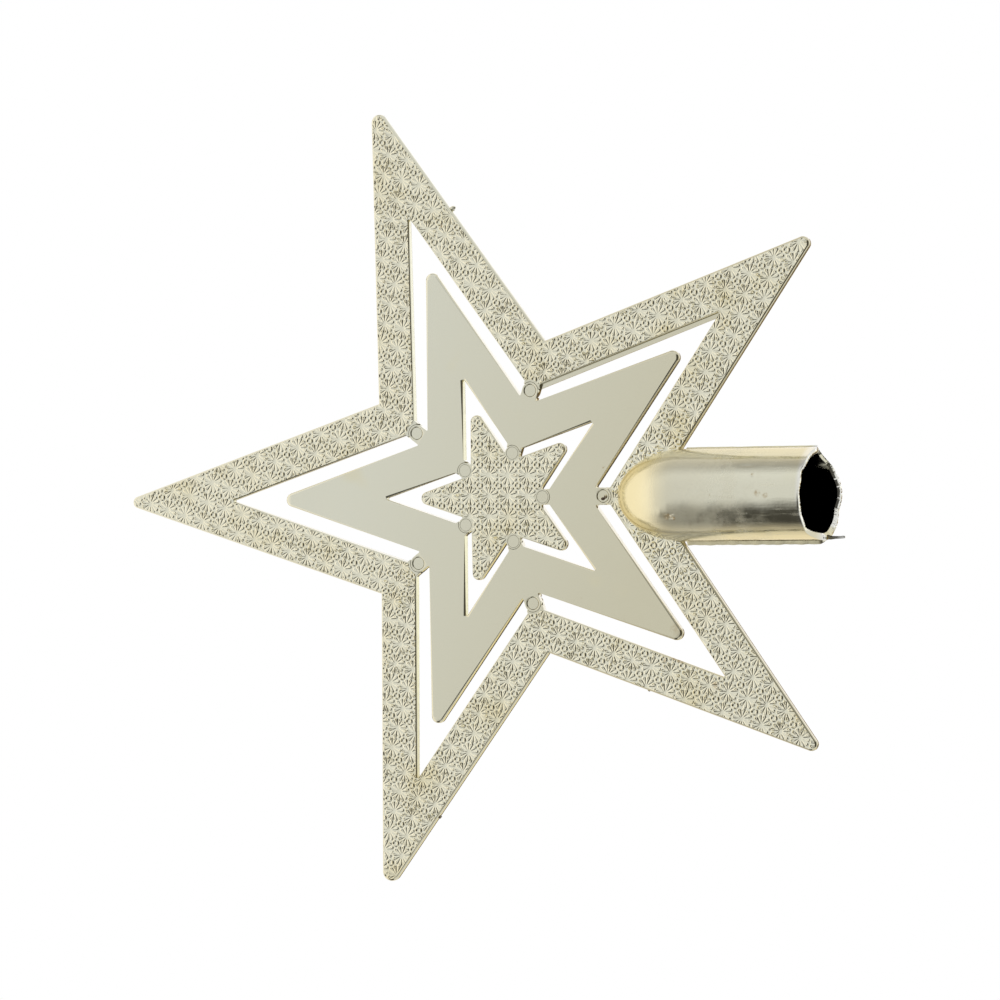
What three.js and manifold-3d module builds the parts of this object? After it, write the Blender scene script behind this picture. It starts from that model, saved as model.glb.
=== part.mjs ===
// A star tree topper: three nested flat stars in metallised plastic, pinned together at
// half-lapped tabs, with a round socket in two shells that slips over the top of the tree.
// Millimetres, +Z up. The origin is the centre of the socket's mouth, the stars stand in
// the XZ plane, and their decorated side faces -Y.

import * as THREE from 'three';
import { mergeVertices } from 'three/addons/utils/BufferGeometryUtils.js';
import Module from 'manifold-3d';

const wasm = await Module();
wasm.setup();

// Driving dimensions of the stars
const OUTER_SHARP_RADIUS = 81.4;
const OUTER_BAND_WIDTH = 7.5;
const OUTER_GAP = 2.75;
const MIDDLE_BAND_WIDTH = 7.5;
const INNER_GAP = 1.45;
const PLATE_THICKNESS = 1.6;
const OUTER_TIP_ROUND = 1.4;
const MIDDLE_TIP_ROUND = 1.35;
const INNER_TIP_ROUND = 1.25;
const SIDE_ARM_LIFT = THREE.MathUtils.degToRad(0.6);
const LOWER_ARM_SPLAY = THREE.MathUtils.degToRad(1.2);

// Driving dimensions of the half-lapped tabs and their pins
const OUTER_TAB_WIDTH = 3.3;
const OUTER_PIN_INSET = 0.6;
const INNER_TAB_WIDTH = 3.0;
const INNER_PIN_INSET = 0.35;
const PIN_HEAD_RADIUS = 1.15;
const PIN_HEAD_RECESS = 0.2;
const PIN_HEAD_HEIGHT = 0.3;
const PIN_SHANK_RADIUS = 0.65;
const PIN_TAIL_RADIUS = 0.95;
const PIN_TAIL_HEIGHT = 0.3;
const PIN_CLEARANCE = 0.1;
const LAP_CLEARANCE = 0.3;

// Driving dimensions of the socket
const SOCKET_RADIUS = 8.7;
const SOCKET_WALL = 1.35;
const SOCKET_STRAIGHT = 28.65;
const NOSE_LENGTH = 12.7;
const NOSE_SHOULDER = 0.9;
const BACK_LIP = 1.5;
const FRONT_MOUTH_RAKE = 1.1;
const MOUTH_LEAD_IN = 0.5;
const SEAM_RIB_OUT = 0.45;
const SEAM_RIB_HALF_THICKNESS = 0.3;
const SEAM_RIB_TOP = 27.65;
const PLATE_CLEARANCE = 0.3;
const NOSE_TO_PIN = 3.08;

// Fineness of the facets
const TIP_ARC_STEPS = 6;
const PIN_STEPS = 24;
const TAB_END_STEPS = 12;
const SOCKET_STEPS = 48;
const NOSE_STEPS = 10;

// Places that follow from the driving dimensions
const ARMS = 5;
const ARM_ANGLE = (2 * Math.PI) / ARMS;
const NOTCH_COSINE = Math.cos(ARM_ANGLE / 2);
const FRONT = -PLATE_THICKNESS / 2;
const BACK = PLATE_THICKNESS / 2;
const LAP = 0;
const BEYOND = 1;

// Each star is drawn by five straight lines, all at one distance from the centre.
const outerLine = OUTER_SHARP_RADIUS * Math.cos(ARM_ANGLE);
const windowLine = outerLine - OUTER_BAND_WIDTH;
const middleLine = windowLine - OUTER_GAP;
const middleWindowLine = middleLine - MIDDLE_BAND_WIDTH;
const innerLine = middleWindowLine - INNER_GAP;

const outerPinRadius = windowLine / NOTCH_COSINE - OUTER_PIN_INSET;
const innerPinRadius = middleWindowLine / NOTCH_COSINE - INNER_PIN_INSET;

// The lowest outer pin lies a set distance over the socket's nose.
const starCentreHeight = SOCKET_STRAIGHT + NOSE_LENGTH + NOSE_TO_PIN + outerPinRadius;

// How far each arm of the outer star leans towards the top, from the top arm anticlockwise
const armLeans = [0, SIDE_ARM_LIFT, LOWER_ARM_SPLAY, LOWER_ARM_SPLAY, SIDE_ARM_LIFT];
const straightArms = [0, 0, 0, 0, 0];

const embossedGold = new THREE.MeshStandardMaterial({ color: 0xc9c6ad, metalness: 1, roughness: 0.32 });
const smoothGold = new THREE.MeshStandardMaterial({ color: 0xc7c6b2, metalness: 1, roughness: 0.16 });
const socketGold = new THREE.MeshStandardMaterial({ color: 0xcfc79c, metalness: 1, roughness: 0.12 });
const pinGold = new THREE.MeshStandardMaterial({ color: 0xbfb897, metalness: 1, roughness: 0.24 });

// Solids

function solidOf(geometry) {
  const bare = geometry.clone();
  bare.deleteAttribute('normal');
  bare.deleteAttribute('uv');
  const merged = mergeVertices(bare, 1e-5);
  return new wasm.Manifold(new wasm.Mesh({
    numProp: 3,
    vertProperties: Float32Array.from(merged.attributes.position.array),
    triVerts: Uint32Array.from(merged.index.array),
  }));
}

function geometryOf(solid) {
  const mesh = solid.getMesh();
  const geometry = new THREE.BufferGeometry();
  geometry.setAttribute('position', new THREE.BufferAttribute(Float32Array.from(mesh.vertProperties), 3));
  geometry.setIndex(new THREE.BufferAttribute(Uint32Array.from(mesh.triVerts), 1));
  geometry.computeVertexNormals();
  return geometry;
}

// A flat piece from a shape drawn in X and Z, between two places along Y
function plate(shape, front, back, arcSteps) {
  const geometry = new THREE.ExtrudeGeometry(shape, {
    depth: back - front,
    bevelEnabled: false,
    curveSegments: arcSteps,
  });
  geometry.rotateX(Math.PI / 2);
  geometry.translate(0, back, 0);
  return geometry;
}

// A round solid about an axis along Z, from a profile of [radius, height] pairs
function turnedUpright(profile) {
  const points = profile.map(([radius, height]) => new THREE.Vector2(radius, height));
  const geometry = new THREE.LatheGeometry(points, SOCKET_STEPS);
  geometry.rotateX(Math.PI / 2);
  return geometry;
}

// Stars

// A direction in X and Z, by its angle from the top, anticlockwise as seen from the front
function direction(angle) {
  return new THREE.Vector2(-Math.sin(angle), Math.cos(angle));
}

function notchPoint(lineDistance, arm) {
  return direction((arm + 0.5) * ARM_ANGLE).multiplyScalar(lineDistance / NOTCH_COSINE);
}

// The sharp tip of an arm that turns about the middle of its own root
function tipPoint(lineDistance, arm, leans) {
  const angle = arm * ARM_ANGLE;
  const root = direction(angle).multiplyScalar(lineDistance);
  const reach = lineDistance / Math.cos(ARM_ANGLE) - lineDistance;
  const towardsTop = Math.sin(angle) >= 0 ? -leans[arm] : leans[arm];
  return root.add(direction(angle + towardsTop).multiplyScalar(reach));
}

// Draws a star's outline on a path, with an arc at each tip where a radius is given
function drawStar(path, lineDistance, tipRadius, leans) {
  for (let arm = 0; arm < ARMS; arm += 1) {
    const before = notchPoint(lineDistance, (arm + ARMS - 1) % ARMS);
    const tip = tipPoint(lineDistance, arm, leans);
    const after = notchPoint(lineDistance, arm);
    if (arm === 0) {
      path.moveTo(before.x, before.y);
    }
    if (tipRadius > 0) {
      const inward = before.clone().sub(tip).normalize();
      const outward = after.clone().sub(tip).normalize();
      const bisector = inward.clone().add(outward).normalize();
      const halfAngle = Math.acos(inward.dot(bisector));
      const centre = tip.clone().addScaledVector(bisector, tipRadius / Math.sin(halfAngle));
      const tangentLength = tipRadius / Math.tan(halfAngle);
      const start = tip.clone().addScaledVector(inward, tangentLength).sub(centre).angle();
      const end = tip.clone().addScaledVector(outward, tangentLength).sub(centre).angle();
      path.absarc(centre.x, centre.y, tipRadius, start, end, false);
    } else {
      path.lineTo(tip.x, tip.y);
    }
    path.lineTo(after.x, after.y);
  }
  path.closePath();
}

function starShape(lineDistance, tipRadius, leans) {
  const shape = new THREE.Shape();
  drawStar(shape, lineDistance, tipRadius, leans);
  return shape;
}

function starBand(lineDistance, tipRadius, windowDistance, leans) {
  const shape = starShape(lineDistance, tipRadius, leans);
  const window = new THREE.Path();
  drawStar(window, windowDistance, 0, leans);
  shape.holes.push(window);
  return shape;
}

// Half-lapped tabs

// A strip along a notch's direction, from one radius to another, with a round far end
function tabShape(arm, flatRadius, roundRadius, halfWidth) {
  const along = direction((arm + 0.5) * ARM_ANGLE);
  const across = new THREE.Vector2(along.y, -along.x);
  const towardsRound = Math.sign(roundRadius - flatRadius);
  const shape = new THREE.Shape();
  const points = [];
  const pointAt = (radius, side) => along.clone().multiplyScalar(radius).addScaledVector(across, side);
  points.push(pointAt(flatRadius, -halfWidth));
  for (let step = 0; step <= TAB_END_STEPS; step += 1) {
    const turn = -Math.PI / 2 + (Math.PI * step) / TAB_END_STEPS;
    const reach = roundRadius + towardsRound * halfWidth * Math.cos(turn);
    points.push(pointAt(reach, halfWidth * Math.sin(turn)));
  }
  points.push(pointAt(flatRadius, halfWidth));
  shape.setFromPoints(points);
  shape.closePath();
  return shape;
}

// Where one pinned joint sits: its arm, the pin's radius and the tab's width
function jointsAt(pinRadius, tabWidth) {
  return Array.from({ length: ARMS }, (_, arm) => ({ arm, pinRadius, halfWidth: tabWidth / 2 }));
}

function pinCentre(joint) {
  return direction((joint.arm + 0.5) * ARM_ANGLE).multiplyScalar(joint.pinRadius);
}

// The pin's turned profile along Y, widened all round by a clearance for its hole
function pinProfile(clearance, frontEnd, backEnd) {
  const seat = FRONT + PIN_HEAD_RECESS + PIN_HEAD_HEIGHT;
  const tail = BACK - PIN_TAIL_HEIGHT;
  return [
    [0, frontEnd],
    [PIN_HEAD_RADIUS + clearance, frontEnd],
    [PIN_HEAD_RADIUS + clearance, seat],
    [PIN_SHANK_RADIUS + clearance, seat],
    [PIN_SHANK_RADIUS + clearance, tail],
    [PIN_TAIL_RADIUS + clearance, tail],
    [PIN_TAIL_RADIUS + clearance, backEnd],
    [0, backEnd],
  ];
}

function turnedPin(profile) {
  return new THREE.LatheGeometry(profile.map(([radius, y]) => new THREE.Vector2(radius, y)), PIN_STEPS);
}

function pinGeometry() {
  return turnedPin(pinProfile(0, FRONT + PIN_HEAD_RECESS, BACK));
}

function pinHole(joint) {
  const centre = pinCentre(joint);
  const hole = turnedPin(pinProfile(PIN_CLEARANCE, FRONT - BEYOND, BACK + BEYOND));
  return hole.translate(centre.x, 0, centre.y);
}

// The smaller star's tongue lies in front of the lap. It runs out from its notch and ends round
// the pin, and behind it the star stops short of the larger star's ledge.
function addTongues(star, joints, rootRadius) {
  let result = star;
  for (const joint of joints) {
    const { arm, pinRadius, halfWidth } = joint;
    const tongue = tabShape(arm, rootRadius, pinRadius, halfWidth);
    const ledgeRoom = tabShape(arm, pinRadius + 3 * halfWidth, pinRadius, halfWidth + LAP_CLEARANCE);
    result = result.add(solidOf(plate(tongue, FRONT, BACK)));
    result = result.subtract(solidOf(plate(ledgeRoom, LAP, BACK + BEYOND)));
    result = result.subtract(solidOf(pinHole(joint)));
  }
  return result;
}

// The larger star's ledge lies behind the lap and ends round the pin on the side of the centre.
function addLedges(star, joints, rootRadius) {
  let result = star;
  for (const joint of joints) {
    const { arm, pinRadius, halfWidth } = joint;
    const ledge = tabShape(arm, rootRadius, pinRadius, halfWidth);
    const tongueRoom = tabShape(arm, pinRadius - 3 * halfWidth, pinRadius, halfWidth + LAP_CLEARANCE);
    result = result.add(solidOf(plate(ledge, FRONT, BACK)));
    result = result.subtract(solidOf(plate(tongueRoom, FRONT - BEYOND, LAP)));
    result = result.subtract(solidOf(pinHole(joint)));
  }
  return result;
}

const outerJoints = jointsAt(outerPinRadius, OUTER_TAB_WIDTH);
const innerJoints = jointsAt(innerPinRadius, INNER_TAB_WIDTH);

// Socket

// The nose is part of an ellipse whose middle lies a little below the shoulder, so that a faint
// ring shows where it meets the straight tube.
function noseProfile(radius, shoulder, tip, steps) {
  const middle = shoulder - NOSE_SHOULDER;
  const long = tip - middle;
  const short = radius / Math.sqrt(1 - (NOSE_SHOULDER / long) ** 2);
  const first = Math.asin(NOSE_SHOULDER / long);
  const points = [];
  for (let step = 0; step <= steps; step += 1) {
    const turn = first + ((Math.PI / 2 - first) * step) / steps;
    const across = step === steps ? 0 : short * Math.cos(turn);
    points.push([across, middle + long * Math.sin(turn)]);
  }
  return points;
}

function socketOutside() {
  const nose = noseProfile(SOCKET_RADIUS, SOCKET_STRAIGHT, SOCKET_STRAIGHT + NOSE_LENGTH, NOSE_STEPS);
  return turnedUpright([[0, 0], [SOCKET_RADIUS, 0], ...nose]);
}

function socketBore(mouth) {
  const radius = SOCKET_RADIUS - SOCKET_WALL;
  const tip = SOCKET_STRAIGHT + NOSE_LENGTH - SOCKET_WALL;
  const nose = noseProfile(radius, SOCKET_STRAIGHT, tip, NOSE_STEPS);
  const wide = radius + MOUTH_LEAD_IN + BEYOND;
  return turnedUpright([
    [0, mouth - BEYOND],
    [wide, mouth - BEYOND],
    [radius, mouth + MOUTH_LEAD_IN],
    ...nose,
  ]);
}

// One long rib on each side, half of it on each shell
function seamRibs(front, back) {
  const inside = SOCKET_RADIUS - SOCKET_WALL / 2;
  const outside = SOCKET_RADIUS + SEAM_RIB_OUT;
  const ribs = [];
  for (const side of [-1, 1]) {
    const rib = new THREE.BoxGeometry(outside - inside, back - front, SEAM_RIB_TOP);
    rib.translate((side * (inside + outside)) / 2, (front + back) / 2, SEAM_RIB_TOP / 2);
    ribs.push(rib);
  }
  return ribs;
}

function box(low, high) {
  const size = high.clone().sub(low);
  const centre = low.clone().add(high).multiplyScalar(0.5);
  return new THREE.BoxGeometry(size.x, size.y, size.z).translate(centre.x, centre.y, centre.z);
}

// All that lies on one side of the parting plane, down to the mouth at a given height
function shellHalf(side, mouth) {
  const reach = 2 * SOCKET_RADIUS;
  const top = SOCKET_STRAIGHT + NOSE_LENGTH + BEYOND;
  const low = new THREE.Vector3(-reach, side < 0 ? -reach : 0, mouth);
  const high = new THREE.Vector3(reach, side < 0 ? 0 : reach, top);
  return box(low, high);
}

// The front shell's mouth is cut along a plane that rises towards the front.
function mouthRake(mouth) {
  const reach = 3 * SOCKET_RADIUS;
  const cutter = box(new THREE.Vector3(-reach, -reach, -reach), new THREE.Vector3(reach, 0, 0));
  cutter.rotateX(-Math.atan(FRONT_MOUTH_RAKE / SOCKET_RADIUS));
  return cutter.translate(0, 0, mouth);
}

// The outer star's plate with its room, which both shells close over
function plateRoom() {
  const shape = starShape(outerLine + PLATE_CLEARANCE, 0, armLeans);
  return plate(shape, FRONT, BACK).translate(0, 0, starCentreHeight);
}

function socketShell(side, mouth) {
  const ribFront = side < 0 ? -SEAM_RIB_HALF_THICKNESS : 0;
  const ribBack = side < 0 ? 0 : SEAM_RIB_HALF_THICKNESS;
  let shell = solidOf(socketOutside());
  for (const rib of seamRibs(ribFront, ribBack)) {
    shell = shell.add(solidOf(rib));
  }
  shell = shell.subtract(solidOf(socketBore(mouth)));
  shell = shell.intersect(solidOf(shellHalf(side, mouth)));
  return shell.subtract(solidOf(plateRoom()));
}

// Pieces

function outerStar() {
  const band = plate(starBand(outerLine, OUTER_TIP_ROUND, windowLine, armLeans), FRONT, BACK, TIP_ARC_STEPS);
  const ledgeRoot = outerPinRadius + OUTER_TAB_WIDTH;
  const slot = socketBore(0).translate(0, 0, -starCentreHeight);
  return geometryOf(addLedges(solidOf(band), outerJoints, ledgeRoot).subtract(solidOf(slot)));
}

function middleStar() {
  const shape = starBand(middleLine, MIDDLE_TIP_ROUND, middleWindowLine, straightArms);
  const band = plate(shape, FRONT, BACK, TIP_ARC_STEPS);
  const tongueRoot = middleLine / NOTCH_COSINE - OUTER_TAB_WIDTH;
  const ledgeRoot = innerPinRadius + INNER_TAB_WIDTH;
  const withTongues = addTongues(solidOf(band), outerJoints, tongueRoot);
  return geometryOf(addLedges(withTongues, innerJoints, ledgeRoot));
}

function innerStar() {
  const shape = starShape(innerLine, INNER_TIP_ROUND, straightArms);
  const tongueRoot = innerLine / NOTCH_COSINE - INNER_TAB_WIDTH;
  return geometryOf(addTongues(solidOf(plate(shape, FRONT, BACK, TIP_ARC_STEPS)), innerJoints, tongueRoot));
}

function frontShell() {
  return geometryOf(socketShell(-1, BACK_LIP).subtract(solidOf(mouthRake(BACK_LIP))));
}

function backShell() {
  return geometryOf(socketShell(1, 0));
}

function addPiece(parent, name, geometry, material) {
  const mesh = new THREE.Mesh(geometry, material);
  mesh.name = name;
  parent.add(mesh);
  return mesh;
}

function addPins(parent, prefix, joints) {
  for (const joint of joints) {
    const centre = pinCentre(joint);
    const pin = addPiece(parent, `${prefix}_${joint.arm + 1}`, pinGeometry(), pinGold);
    pin.position.set(centre.x, 0, centre.y);
  }
}

const topper = new THREE.Group();
const stars = new THREE.Group();
stars.position.set(0, 0, starCentreHeight);
topper.add(stars);

addPiece(stars, 'outer_star', outerStar(), embossedGold);
addPiece(stars, 'middle_star', middleStar(), smoothGold);
addPiece(stars, 'inner_star', innerStar(), embossedGold);
addPins(stars, 'outer_joint_pin', outerJoints);
addPins(stars, 'inner_joint_pin', innerJoints);
addPiece(topper, 'socket_front_shell', frontShell(), socketGold);
addPiece(topper, 'socket_back_shell', backShell(), socketGold);

export default topper;
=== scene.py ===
"""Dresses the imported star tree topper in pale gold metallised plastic.

The outer and inner stars get an embossed pattern of flowers and rings, every plate gets
bevelled edges, and the socket gets its seam ribs, its uneven skin and its broken rim.
Sizes are in metres unless a comment says millimetres. The front faces -Y, and up is +Z.
"""

import math

import bmesh
import bpy
import numpy as np
from bpy.props import FloatProperty, FloatVectorProperty, IntProperty, PointerProperty
from mathutils import Matrix, Vector
from mathutils.geometry import delaunay_2d_cdt


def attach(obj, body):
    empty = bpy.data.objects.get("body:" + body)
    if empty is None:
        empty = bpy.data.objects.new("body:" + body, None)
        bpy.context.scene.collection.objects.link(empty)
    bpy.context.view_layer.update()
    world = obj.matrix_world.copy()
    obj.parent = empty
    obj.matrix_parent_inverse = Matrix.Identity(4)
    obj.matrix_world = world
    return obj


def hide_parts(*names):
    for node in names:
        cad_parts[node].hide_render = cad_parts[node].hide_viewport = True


bl_info = {
    "name": "Star tree topper",
    "version": (1, 0, 0),
    "blender": (4, 5, 0),
    "location": "View3D > Sidebar > Topper",
    "description": "Builds the metallised star tree topper round its packed model",
    "category": "Object",
}

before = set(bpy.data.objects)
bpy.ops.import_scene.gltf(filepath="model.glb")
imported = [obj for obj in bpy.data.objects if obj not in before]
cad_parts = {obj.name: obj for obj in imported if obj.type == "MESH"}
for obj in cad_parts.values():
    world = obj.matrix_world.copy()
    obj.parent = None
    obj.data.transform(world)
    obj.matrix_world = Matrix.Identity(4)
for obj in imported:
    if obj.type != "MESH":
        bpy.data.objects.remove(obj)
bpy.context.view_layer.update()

MM = 0.001
ARMS = 5
ARM_ANGLE = 2 * math.pi / ARMS
NOTCH_COSINE = math.cos(ARM_ANGLE / 2)
NO_LEANS = (0.0,) * ARMS
MOST_PETALS = 24
BRIGHTEST = 2.0
# How close points have to lie to be joined
JOINED = 1e-6
FINELY_JOINED = 1e-7


def length(name, description, default):
    """A size in metres."""
    return FloatProperty(name=name, description=description, default=default, unit="LENGTH", precision=5)


def angle(name, description, degrees):
    """An angle, given in degrees."""
    return FloatProperty(name=name, description=description, default=math.radians(degrees), subtype="ANGLE")


def share(name, description, default):
    """A plain number from nothing upwards."""
    return FloatProperty(name=name, description=description, default=default, min=0.0, subtype="FACTOR")


def colour(name, description, default):
    """A linear colour, which may be brighter than white for a light."""
    return FloatVectorProperty(name=name, description=description, default=default, size=3, subtype="COLOR",
                               min=0.0, max=BRIGHTEST)


# Sizes and colours that a user would change


class StarSizes(bpy.types.PropertyGroup):
    """Sizes of the three flat stars."""

    centre_height: length("Centre height", "Star centre above the socket's mouth", 65.65 * MM)
    outer_line: length("Outer line", "Distance of the outer star's edges from its centre", 25.154 * MM)
    outer_window: length("Outer window", "Distance of the outer window's edges from the centre", 17.53 * MM)
    window_rise: length("Window rise", "How far the outer window lies over the centre", 0.15 * MM)
    middle_line: length("Middle line", "Distance of the middle star's edges from its centre", 14.904 * MM)
    middle_window: length("Middle window", "Distance of the middle window's edges", 7.404 * MM)
    inner_line: length("Inner line", "Distance of the inner star's edges from its centre", 5.954 * MM)
    tip_rounds: FloatVectorProperty(name="Outer tip radii", description="Rounding of the outer tips by arm",
                                    default=(1.16 * MM, 1.8 * MM, 1.25 * MM, 1.34 * MM, 1.57 * MM),
                                    size=ARMS, unit="LENGTH", precision=5)
    middle_tip_round: length("Middle tip radius", "Rounding of the middle star's tips", 1.35 * MM)
    inner_tip_round: length("Inner tip radius", "Rounding of the inner star's tips", 1.25 * MM)
    half_thickness: length("Half thickness", "Half of the plates' thickness", 0.8 * MM)
    lower_splay: angle("Lower splay", "How far the lower arms lean out from the socket", 1.2)
    side_lift: angle("Side lift", "How far the side arms lean up", 0.6)
    bend: angle("Bend", "How much further the side arm on the +X side leans", 0.3)
    lower_bend: angle("Lower bend", "How much further the lower arm on the +X side leans", 0.15)
    top_turn: angle("Top arm's turn", "How far the top arm leans towards -X", 0.12)
    bevel: length("Bevel", "Width of the bevel along the plates' edges", 0.42 * MM)
    joint_bevel: length("Bevel at the joints", "Width of the bevel round the outer pins' heads", 0.14 * MM)
    fine_bevel: length("Fine bevel", "Width of the bevel along the joints' other seams", 0.025 * MM)
    draft: length("Draft", "How far the walls fall back from the parting line", 0.03 * MM)
    window_ledge: length("Window ledge", "Width of the flash left in the window of a lower arm", 0.8 * MM)
    step: length("Step", "Fineness of the plates' outlines", 0.16 * MM)


class PatternSizes(bpy.types.PropertyGroup):
    """Sizes of the embossed flowers and rings."""

    petals: IntProperty(name="Petals", description="Petals on a flower", default=12, min=5, max=MOST_PETALS)
    petal_start: length("Petal start", "Where the petals begin, from the flower's middle", 0.4 * MM)
    petal_end: length("Petal end", "Where the petals end, from the flower's middle", 1.95 * MM)
    petal_narrow: length("Petal's narrow end", "Half width of a petal where it begins", 0.05 * MM)
    petal_wide: length("Petal's wide end", "Radius of a petal's round end", 0.28 * MM)
    petal_height: length("Petal height", "How far the petals stand up", 0.29 * MM)
    flank: length("Flank", "Width of the raised parts' flanks", 0.16 * MM)
    furrow: share("Furrow", "How deep the furrow along a petal is, as a share of its height", 0.7)
    ring_radius: length("Ring radius", "Middle radius of the small rings", 0.52 * MM)
    ring_width: length("Ring width", "Half width of the small rings' ridge", 0.15 * MM)
    ring_height: length("Ring height", "How far the small rings stand up", 0.2 * MM)
    ground: length("Ground", "Thickness of the pattern between its raised parts", 0.02 * MM)
    root: length("Root", "How deep the pattern is set into its plate", 0.1 * MM)
    step: length("Step", "Fineness of the pattern's mesh", 0.1 * MM)
    margin: length("Margin", "Plain rim left along the plate's inner edges", 0.24 * MM)
    outer_margin: length("Outer margin", "Plain rim left along the outer star's outline", 0.36 * MM)


class JointSizes(bpy.types.PropertyGroup):
    """Sizes of the pinned joints between the stars."""

    outer_radius: length("Outer pins", "Distance of the outer joints' pins from the centre", 21.2216 * MM)
    inner_radius: length("Inner pins", "Distance of the inner joints' pins from the centre", 8.82 * MM)
    outer_room: length("Outer room", "Clear radius left in the pattern round an outer joint", 2.1 * MM)
    bevel_room: length("Bevel's room", "Radius round a pin in which the bevels stay small", 2.3 * MM)
    ring_room: length("Ring's room", "Radius round an outer pin that its hole's bevel keeps to", 1.32 * MM)
    inner_room: length("Inner room", "Clear radius left in the pattern round an inner joint", 1.45 * MM)
    outer_tab: length("Outer tab", "Width of the tabs between the outer and middle stars", 3.3 * MM)
    inner_tab: length("Inner tab", "Width of the tabs between the middle and inner stars", 3.0 * MM)
    seam: length("Seam", "Fine gap round a tab's end and round a pin", 0.012 * MM)
    head_radius: length("Head radius", "Radius of a pin's head", 1.15 * MM)
    hairline: length("Hairline", "Gap round the inner pins' heads", 0.015 * MM)
    head_recess: length("Head recess", "How far an outer pin's head lies under the plate's face", 0.11 * MM)
    head_height: length("Head height", "Height of a pin's head", 0.5 * MM)
    shank_radius: length("Shank radius", "Radius of a pin's shank", 0.65 * MM)
    tail_radius: length("Tail radius", "Radius of a pin's tail", 0.95 * MM)
    tail_height: length("Tail height", "Height of a pin's tail", 0.3 * MM)


class SocketSizes(bpy.types.PropertyGroup):
    """Sizes of the socket's two shells."""

    radius: length("Radius", "Outside radius of the tube", 8.7 * MM)
    wall: length("Wall", "Thickness of the tube's wall", 1.35 * MM)
    straight: length("Straight length", "Height of the tube's straight part", 28.65 * MM)
    nose: length("Nose length", "Height of the nose over the straight part", 12.7 * MM)
    shoulder: length("Shoulder", "How far under the nose its ellipse has its middle", 0.9 * MM)
    lip: length("Back lip", "How far the back shell reaches past the front one", 1.5 * MM)
    rake: length("Front rake", "How far the front mouth rises at its middle", 1.1 * MM)
    chip: length("Chip", "How far the back rim is broken away on the +X side", 2.5 * MM)
    unevenness: length("Unevenness", "How far the tube's skin wanders in and out", 0.03 * MM)
    lead_in: length("Lead-in", "Chamfer inside the mouth", 0.5 * MM)
    flare: share("Flare", "Share of the back wall worn away inside the mouth", 0.62)
    flare_height: length("Flare height", "How far the worn part reaches up into the bore", 3.0 * MM)
    rib_lower: length("Lower rib", "How far the seam rib stands out on the -X side", 0.75 * MM)
    rib_upper: length("Upper rib", "How far the seam rib stands out on the +X side", 0.25 * MM)
    rib_half: length("Rib half thickness", "Half of the seam ribs' thickness", 0.3 * MM)
    rib_top: length("Rib top", "Where the seam ribs end under the plate", 27.65 * MM)


class FinishColours(bpy.types.PropertyGroup):
    """Colours and gloss of the metallised plastic."""

    pale: colour("Pale gold", "Metal colour of the smooth star", (0.82, 0.785, 0.62))
    deep: colour("Deep gold", "Metal colour towards the socket", (0.73, 0.67, 0.475))
    pattern: colour("Pattern gold", "Metal colour of the embossed stars", (0.89, 0.84, 0.645))
    tube: colour("Tube gold", "Metal colour of the socket", (0.82, 0.775, 0.595))
    warm: colour("Warm gold", "Metal colour where the lacquer is thicker", (0.83, 0.74, 0.47))
    # The bore colour is painted shade: near black inside the whole socket, where the deep bore lies in
    # shade.
    bore: colour("Bore", "Bare dark plastic inside the socket", (0.006, 0.005, 0.004))
    bare_rim: colour("Bare rim", "Pale metal at the socket's broken rim", (0.93, 0.91, 0.84))
    # The flash colour also paints shade on the lowest pin.
    flash: colour("Flash", "Dark brown flash left on the edges", (0.09, 0.06, 0.035))
    # The lacquer colour also paints the golden reflection on the tube's sides towards the seams.
    lacquer: colour("Lacquer", "Colour of thick lacquer on the nose and seams", (0.86, 0.76, 0.47))
    stain: colour("Stain", "Colour of the small brown stains", (0.42, 0.29, 0.13))
    nose_metal: share("Metal on the nose", "How much metal covers the plastic near the nose", 0.5)
    smooth_roughness: share("Smooth roughness", "Roughness of the smooth star", 0.12)
    pattern_roughness: share("Pattern roughness", "Roughness of the embossed stars", 0.15)
    socket_roughness: share("Socket roughness", "Roughness of the socket", 0.1)


class StudioSettings(bpy.types.PropertyGroup):
    """The floor and the soft light round the object."""

    floor_height: length("Floor height", "Height of the floor", -0.33)
    floor_size: length("Floor size", "Width of the floor", 1.4)
    front: colour("Front light", "Tint of the soft light in front of the plates", (0.96, 1.0, 1.06))
    white: colour("White surroundings", "Tint of the surroundings behind the object", (1.0, 0.96, 0.87))


GROUPS = {
    "topper_stars": StarSizes,
    "topper_pattern": PatternSizes,
    "topper_joints": JointSizes,
    "topper_socket": SocketSizes,
    "topper_finish": FinishColours,
    "topper_studio": StudioSettings,
}


# Star outlines, in millimetres from the star's centre: X, then height

# The least rise of an edge that is divided by
LEAST_RISE = 1e-12
# How far the room for a tab reaches past its pin, in tab widths
TAB_ROOM = 1.5


def direction(turn):
    """A unit direction by its angle from the top, anticlockwise as seen from the front."""
    return np.array([-math.sin(turn), math.cos(turn)])


def arm_leans(stars):
    """How far each of the outer star's arms turns, signed in the same way as direction()."""
    lower = stars.lower_splay + stars.lower_bend
    return (stars.top_turn, -stars.side_lift, -stars.lower_splay, lower, stars.side_lift + stars.bend)


def star_outline(line, leans=NO_LEANS):
    """The ten corners of a star whose edges lie at one distance from its centre."""
    points = []
    for arm in range(ARMS):
        root = direction(arm * ARM_ANGLE) * line
        reach = line / math.cos(ARM_ANGLE) - line
        points.append(root + direction(arm * ARM_ANGLE + leans[arm]) * reach)
        points.append(direction((arm + 0.5) * ARM_ANGLE) * line / NOTCH_COSINE)
    return np.array(points)


def inset_outline(outline, inset):
    """The outline with each edge moved inwards."""
    following = np.roll(outline, -1, axis=0)
    along = following - outline
    along /= np.linalg.norm(along, axis=1)[:, None]
    inward = np.stack([-along[:, 1], along[:, 0]], 1)
    corners = []
    for index in range(len(outline)):
        before = index - 1
        lines = np.stack([inward[before], inward[index]])
        reach = np.array([inward[before] @ outline[index], inward[index] @ outline[index]]) + inset
        corners.append(np.linalg.solve(lines, reach))
    return np.array(corners)


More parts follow.
